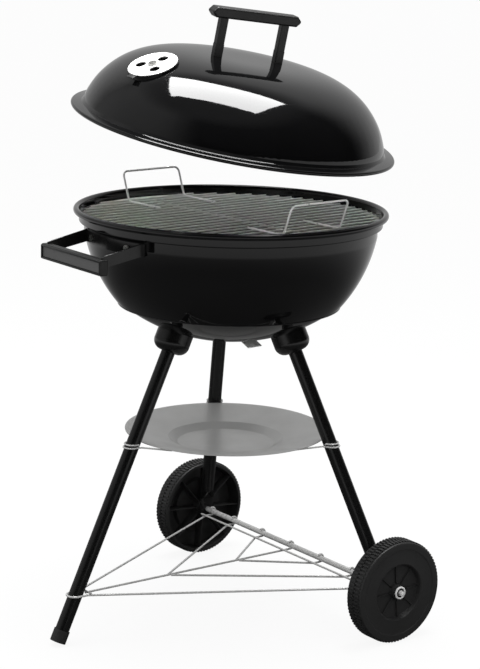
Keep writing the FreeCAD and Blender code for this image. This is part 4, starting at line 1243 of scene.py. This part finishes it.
# ---- axle
@dataclass
class AxleEnds:
    """Sprung collar with a turned-up edge on each end of the axle, its spring teeth coloured black as painted
    shade inside the ring, and the rod's bright sawn tip.
    """

    collar_radius: float = 0.0092
    collar_bore: float = 0.0067
    collar_lip: float = 0.0073
    collar_foot: float = -0.0012
    collar_top: float = 0.0009
    spring_bore: float = 0.0042
    tip_radius: float = 0.0025

    def build(self) -> None:
        """Makes both collars with their springs, and both tips."""
        low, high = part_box("axle")
        middle = (low + high) / 2
        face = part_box("axle_push_nuts")[1].x - middle.x
        r, bore, foot, t = self.collar_radius, self.collar_bore, self.collar_foot, self.tip_radius
        ring = [
            rz(bore, foot), rz(r, foot), rz(r, 0.0004), rz(r - 0.0006, self.collar_top),
            rz(self.collar_lip, self.collar_top), rz(bore, 0.0003),
        ]
        eye = self.spring_bore
        teeth = [rz(eye, foot), rz(bore, foot), rz(bore, -0.0004), rz(eye, 0.0002)]
        point = [rz(0, -0.0005), rz(t, -0.0005), rz(t, 0.0001), rz(t * 0.8, 0.0005), rz(0, 0.0007)]
        collars, springs, tips = [], [], []
        for side in (-1, 1):
            out = Vector((side, 0, 0))
            seat = set_along(middle + out * face, out)
            end = set_along(middle + out * (high.x - low.x) / 2, out)
            collars.append(settle(turned("collar", rounded(ring, {2: 0.0004, 3: 0.0004}, 3), 64), seat))
            springs.append(settle(turned("spring", teeth, 48), seat))
            tips.append(settle(turned("tip", point, 32, closed=False), end))
        placed(joined(collars, "axle_collars"), POLISHED_STEEL, Body.STAND, "axle_push_nuts")
        # The spring teeth's black powder coat is painted shade, the dark inside of each collar's ring.
        placed(joined(springs, "axle_spring_teeth_painted_shade"), POWDER_COAT, Body.STAND)
        placed(joined(tips, "axle_tips"), POLISHED_STEEL, Body.STAND)


# ---- studio
@dataclass(frozen=True)
class Softbox:
    """Rectangular light that faces straight down.

    With only set, it lights those nodes alone, and nothing but those nodes shades it.
    """

    name: str
    place: tuple[float, float, float]
    size: tuple[float, float]
    power: float
    turn: float = 0.0
    only: tuple[str, ...] = ()

    def build(self) -> None:
        """Adds the light, for every piece or for some nodes only."""
        deselect()
        bpy.ops.object.light_add(type="AREA", location=self.place)
        light = bpy.context.object
        light.name = self.name
        light.data.shape = "RECTANGLE"
        light.data.size, light.data.size_y = self.size
        light.data.energy = self.power
        light.visible_camera = False
        light.rotation_euler = (0, 0, math.radians(self.turn))
        if self.only:
            lit = bpy.data.collections.new(self.name + "_pieces")
            for node in self.only:
                lit.objects.link(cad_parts[node])
            light.light_linking.receiver_collection = lit
            light.light_linking.blocker_collection = lit
            light.data.cycles.use_multiple_importance_sampling = False


@dataclass(frozen=True)
class Wall:
    """Part of the surroundings: how bright they are round one heading."""

    heading: float
    spread: float
    brightness: float


@dataclass
class Studio:
    """Pale floor and backdrop, black cloths and white boards round the object, softboxes and the camera."""

    lens: float = 113.95
    camera_place: tuple[float, float, float] = (2.4025, -1.7459, 1.0838)
    heading: float = 53.175
    pitch: float = 12.58
    roll: float = 1.48
    floor_size: float = 60.0
    backdrop: float = 0.97
    fill: float = 1.3
    cloth: Point = (0.7, 2.4)
    floor_gloss: Point = (0.02, 0.6)
    floor_glow: float = 0.93
    floor_mirrored: float = 0.96
    ceiling: float = 0.12
    ceiling_edge: Point = (0.72, 0.9)
    wall_blur: float = 0.3
    walls: tuple[Wall, ...] = (Wall(235, 48, 0.34), Wall(143, 55, 0.5))
    softboxes: tuple[Softbox, ...] = (
        Softbox("overhead_softbox", (-0.03, 0.11, 2.2), (1.3, 0.88), 58, 36),
        Softbox("grate_softbox", (0.1, 0.95, 1.9), (0.8, 0.8), 4, 0, ("cooking_grate", "grate_bails")),
    )

    def camera(self) -> None:
        """Adds the camera."""
        deselect()
        bpy.ops.object.camera_add()
        camera = bpy.context.object
        camera.data.lens = self.lens
        camera.data.clip_end = 200
        look = (
            Matrix.Rotation(math.radians(self.heading), 4, "Z")
            @ Matrix.Rotation(math.radians(90 - self.pitch), 4, "X")
            @ Matrix.Rotation(math.radians(self.roll), 4, "Z")
        )
        camera.matrix_world = Matrix.Translation(self.camera_place) @ look
        bpy.context.scene.camera = camera

    def floor(self) -> None:
        """Adds the pale floor."""
        deselect()
        bpy.ops.mesh.primitive_plane_add(size=self.floor_size)
        floor = bpy.context.object
        floor.name = "studio_floor"
        material = bpy.data.materials.new("studio_floor_paint")
        material.use_nodes = True
        tree = material.node_tree
        tree.nodes.clear()
        white = linear("#ffffff")
        place = add_node(tree, "ShaderNodeTexCoord").outputs["Object"]
        away = add_node(tree, "ShaderNodeVectorMath", {"operation": "LENGTH"}, {0: place}).outputs["Value"]
        dimmed = ramp(tree, away, self.cloth, self.floor_gloss)
        paint = add_node(tree, "ShaderNodeBsdfDiffuse", {}, {"Color": linear("#e8e8e8")}).outputs["BSDF"]
        mixed = []
        for strength, share in ((dimmed, self.floor_mirrored), (self.backdrop, self.floor_glow)):
            glow = add_node(tree, "ShaderNodeEmission", {}, {"Color": white, "Strength": strength})
            inputs = {0: share, 1: paint, 2: glow.outputs["Emission"]}
            mixed.append(add_node(tree, "ShaderNodeMixShader", {}, inputs).outputs["Shader"])
        rays = add_node(tree, "ShaderNodeLightPath")
        inputs = {0: rays.outputs["Is Camera Ray"], 1: mixed[0], 2: mixed[1]}
        surface = add_node(tree, "ShaderNodeMixShader", {}, inputs)
        add_node(tree, "ShaderNodeOutputMaterial", {}, {"Surface": surface.outputs["Shader"]})
        floor.data.materials.append(material)

    def wall(
        self, tree: bpy.types.NodeTree, heading: bpy.types.NodeSocket, wall: Wall
    ) -> bpy.types.NodeSocket:
        """Brightness that one wall adds: full at its heading, nothing past its spread.

        Args:
            tree: the world's nodes.
            heading: direction seen, flat and of length one.
            wall: the wall.
        Returns:
            The brightness's socket.
        """
        turn = math.radians(wall.heading)
        facing = (math.cos(turn), math.sin(turn), 0.0)
        towards = add_node(
            tree, "ShaderNodeVectorMath", {"operation": "DOT_PRODUCT"}, {0: heading, 1: facing}
        ).outputs["Value"]
        edge = math.cos(math.radians(wall.spread))
        return ramp(tree, towards, (edge - self.wall_blur, edge + self.wall_blur), (0.0, wall.brightness))

    def world(self) -> None:
        """Sets a white backdrop, with walls of different brightness that only the object's gloss shows."""
        world = bpy.data.worlds.new("studio")
        bpy.context.scene.world = world
        world.use_nodes = True
        tree = world.node_tree
        tree.nodes.clear()
        seen = add_node(tree, "ShaderNodeTexCoord").outputs["Generated"]
        parts = add_node(tree, "ShaderNodeSeparateXYZ", {}, {0: seen})
        flat = add_node(
            tree, "ShaderNodeVectorMath", {"operation": "MULTIPLY"}, {0: seen, 1: (1.0, 1.0, 0.0)}
        ).outputs["Vector"]
        heading = add_node(tree, "ShaderNodeVectorMath", {"operation": "NORMALIZE"}, {0: flat})
        first, second = (self.wall(tree, heading.outputs["Vector"], wall) for wall in self.walls)
        brighter = add_node(tree, "ShaderNodeMath", {"operation": "MAXIMUM"}, {0: first, 1: second})
        high = ramp(tree, parts.outputs["Z"], self.ceiling_edge, (0.0, 1.0))
        around = blend(tree, high, brighter.outputs["Value"], self.ceiling)
        rays = add_node(tree, "ShaderNodeLightPath")
        lit = blend(tree, rays.outputs["Is Camera Ray"], self.fill, self.backdrop)
        strength = blend(tree, rays.outputs["Is Glossy Ray"], lit, around)
        background = add_node(
            tree, "ShaderNodeBackground", {}, {"Color": linear("#ffffff"), "Strength": strength}
        )
        add_node(tree, "ShaderNodeOutputWorld", {}, {"Surface": background.outputs["Background"]})

    def build(self) -> None:
        """Sets the whole studio up."""
        self.camera()
        self.floor()
        self.world()
        for softbox in self.softboxes:
            softbox.build()
        bpy.context.scene.view_settings.view_transform = "Standard"


def dress_nodes() -> None:
    """Gives every CAD node its material."""
    for finish, names in FINISHED_NODES:
        for name in names:
            dress(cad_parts[name], finish)
            log.info("%s: %s", name, finish.name)


def main() -> None:
    """Builds every piece in order."""
    logging.basicConfig(level=logging.INFO, format="%(name)s %(message)s")
    Studio().build()
    dress_nodes()
    Bowl().build()
    AshPan().build()
    SideHandle().build()
    AxleEnds().build()
    Lid().build()
    Wheel("wheel_right_detail", "wheel_right", Body.WHEEL_RIGHT, 1).build()
    Wheel("wheel_left_detail", "wheel_left", Body.WHEEL_LEFT, -1).build()


if __name__ == "__main__":
    main()
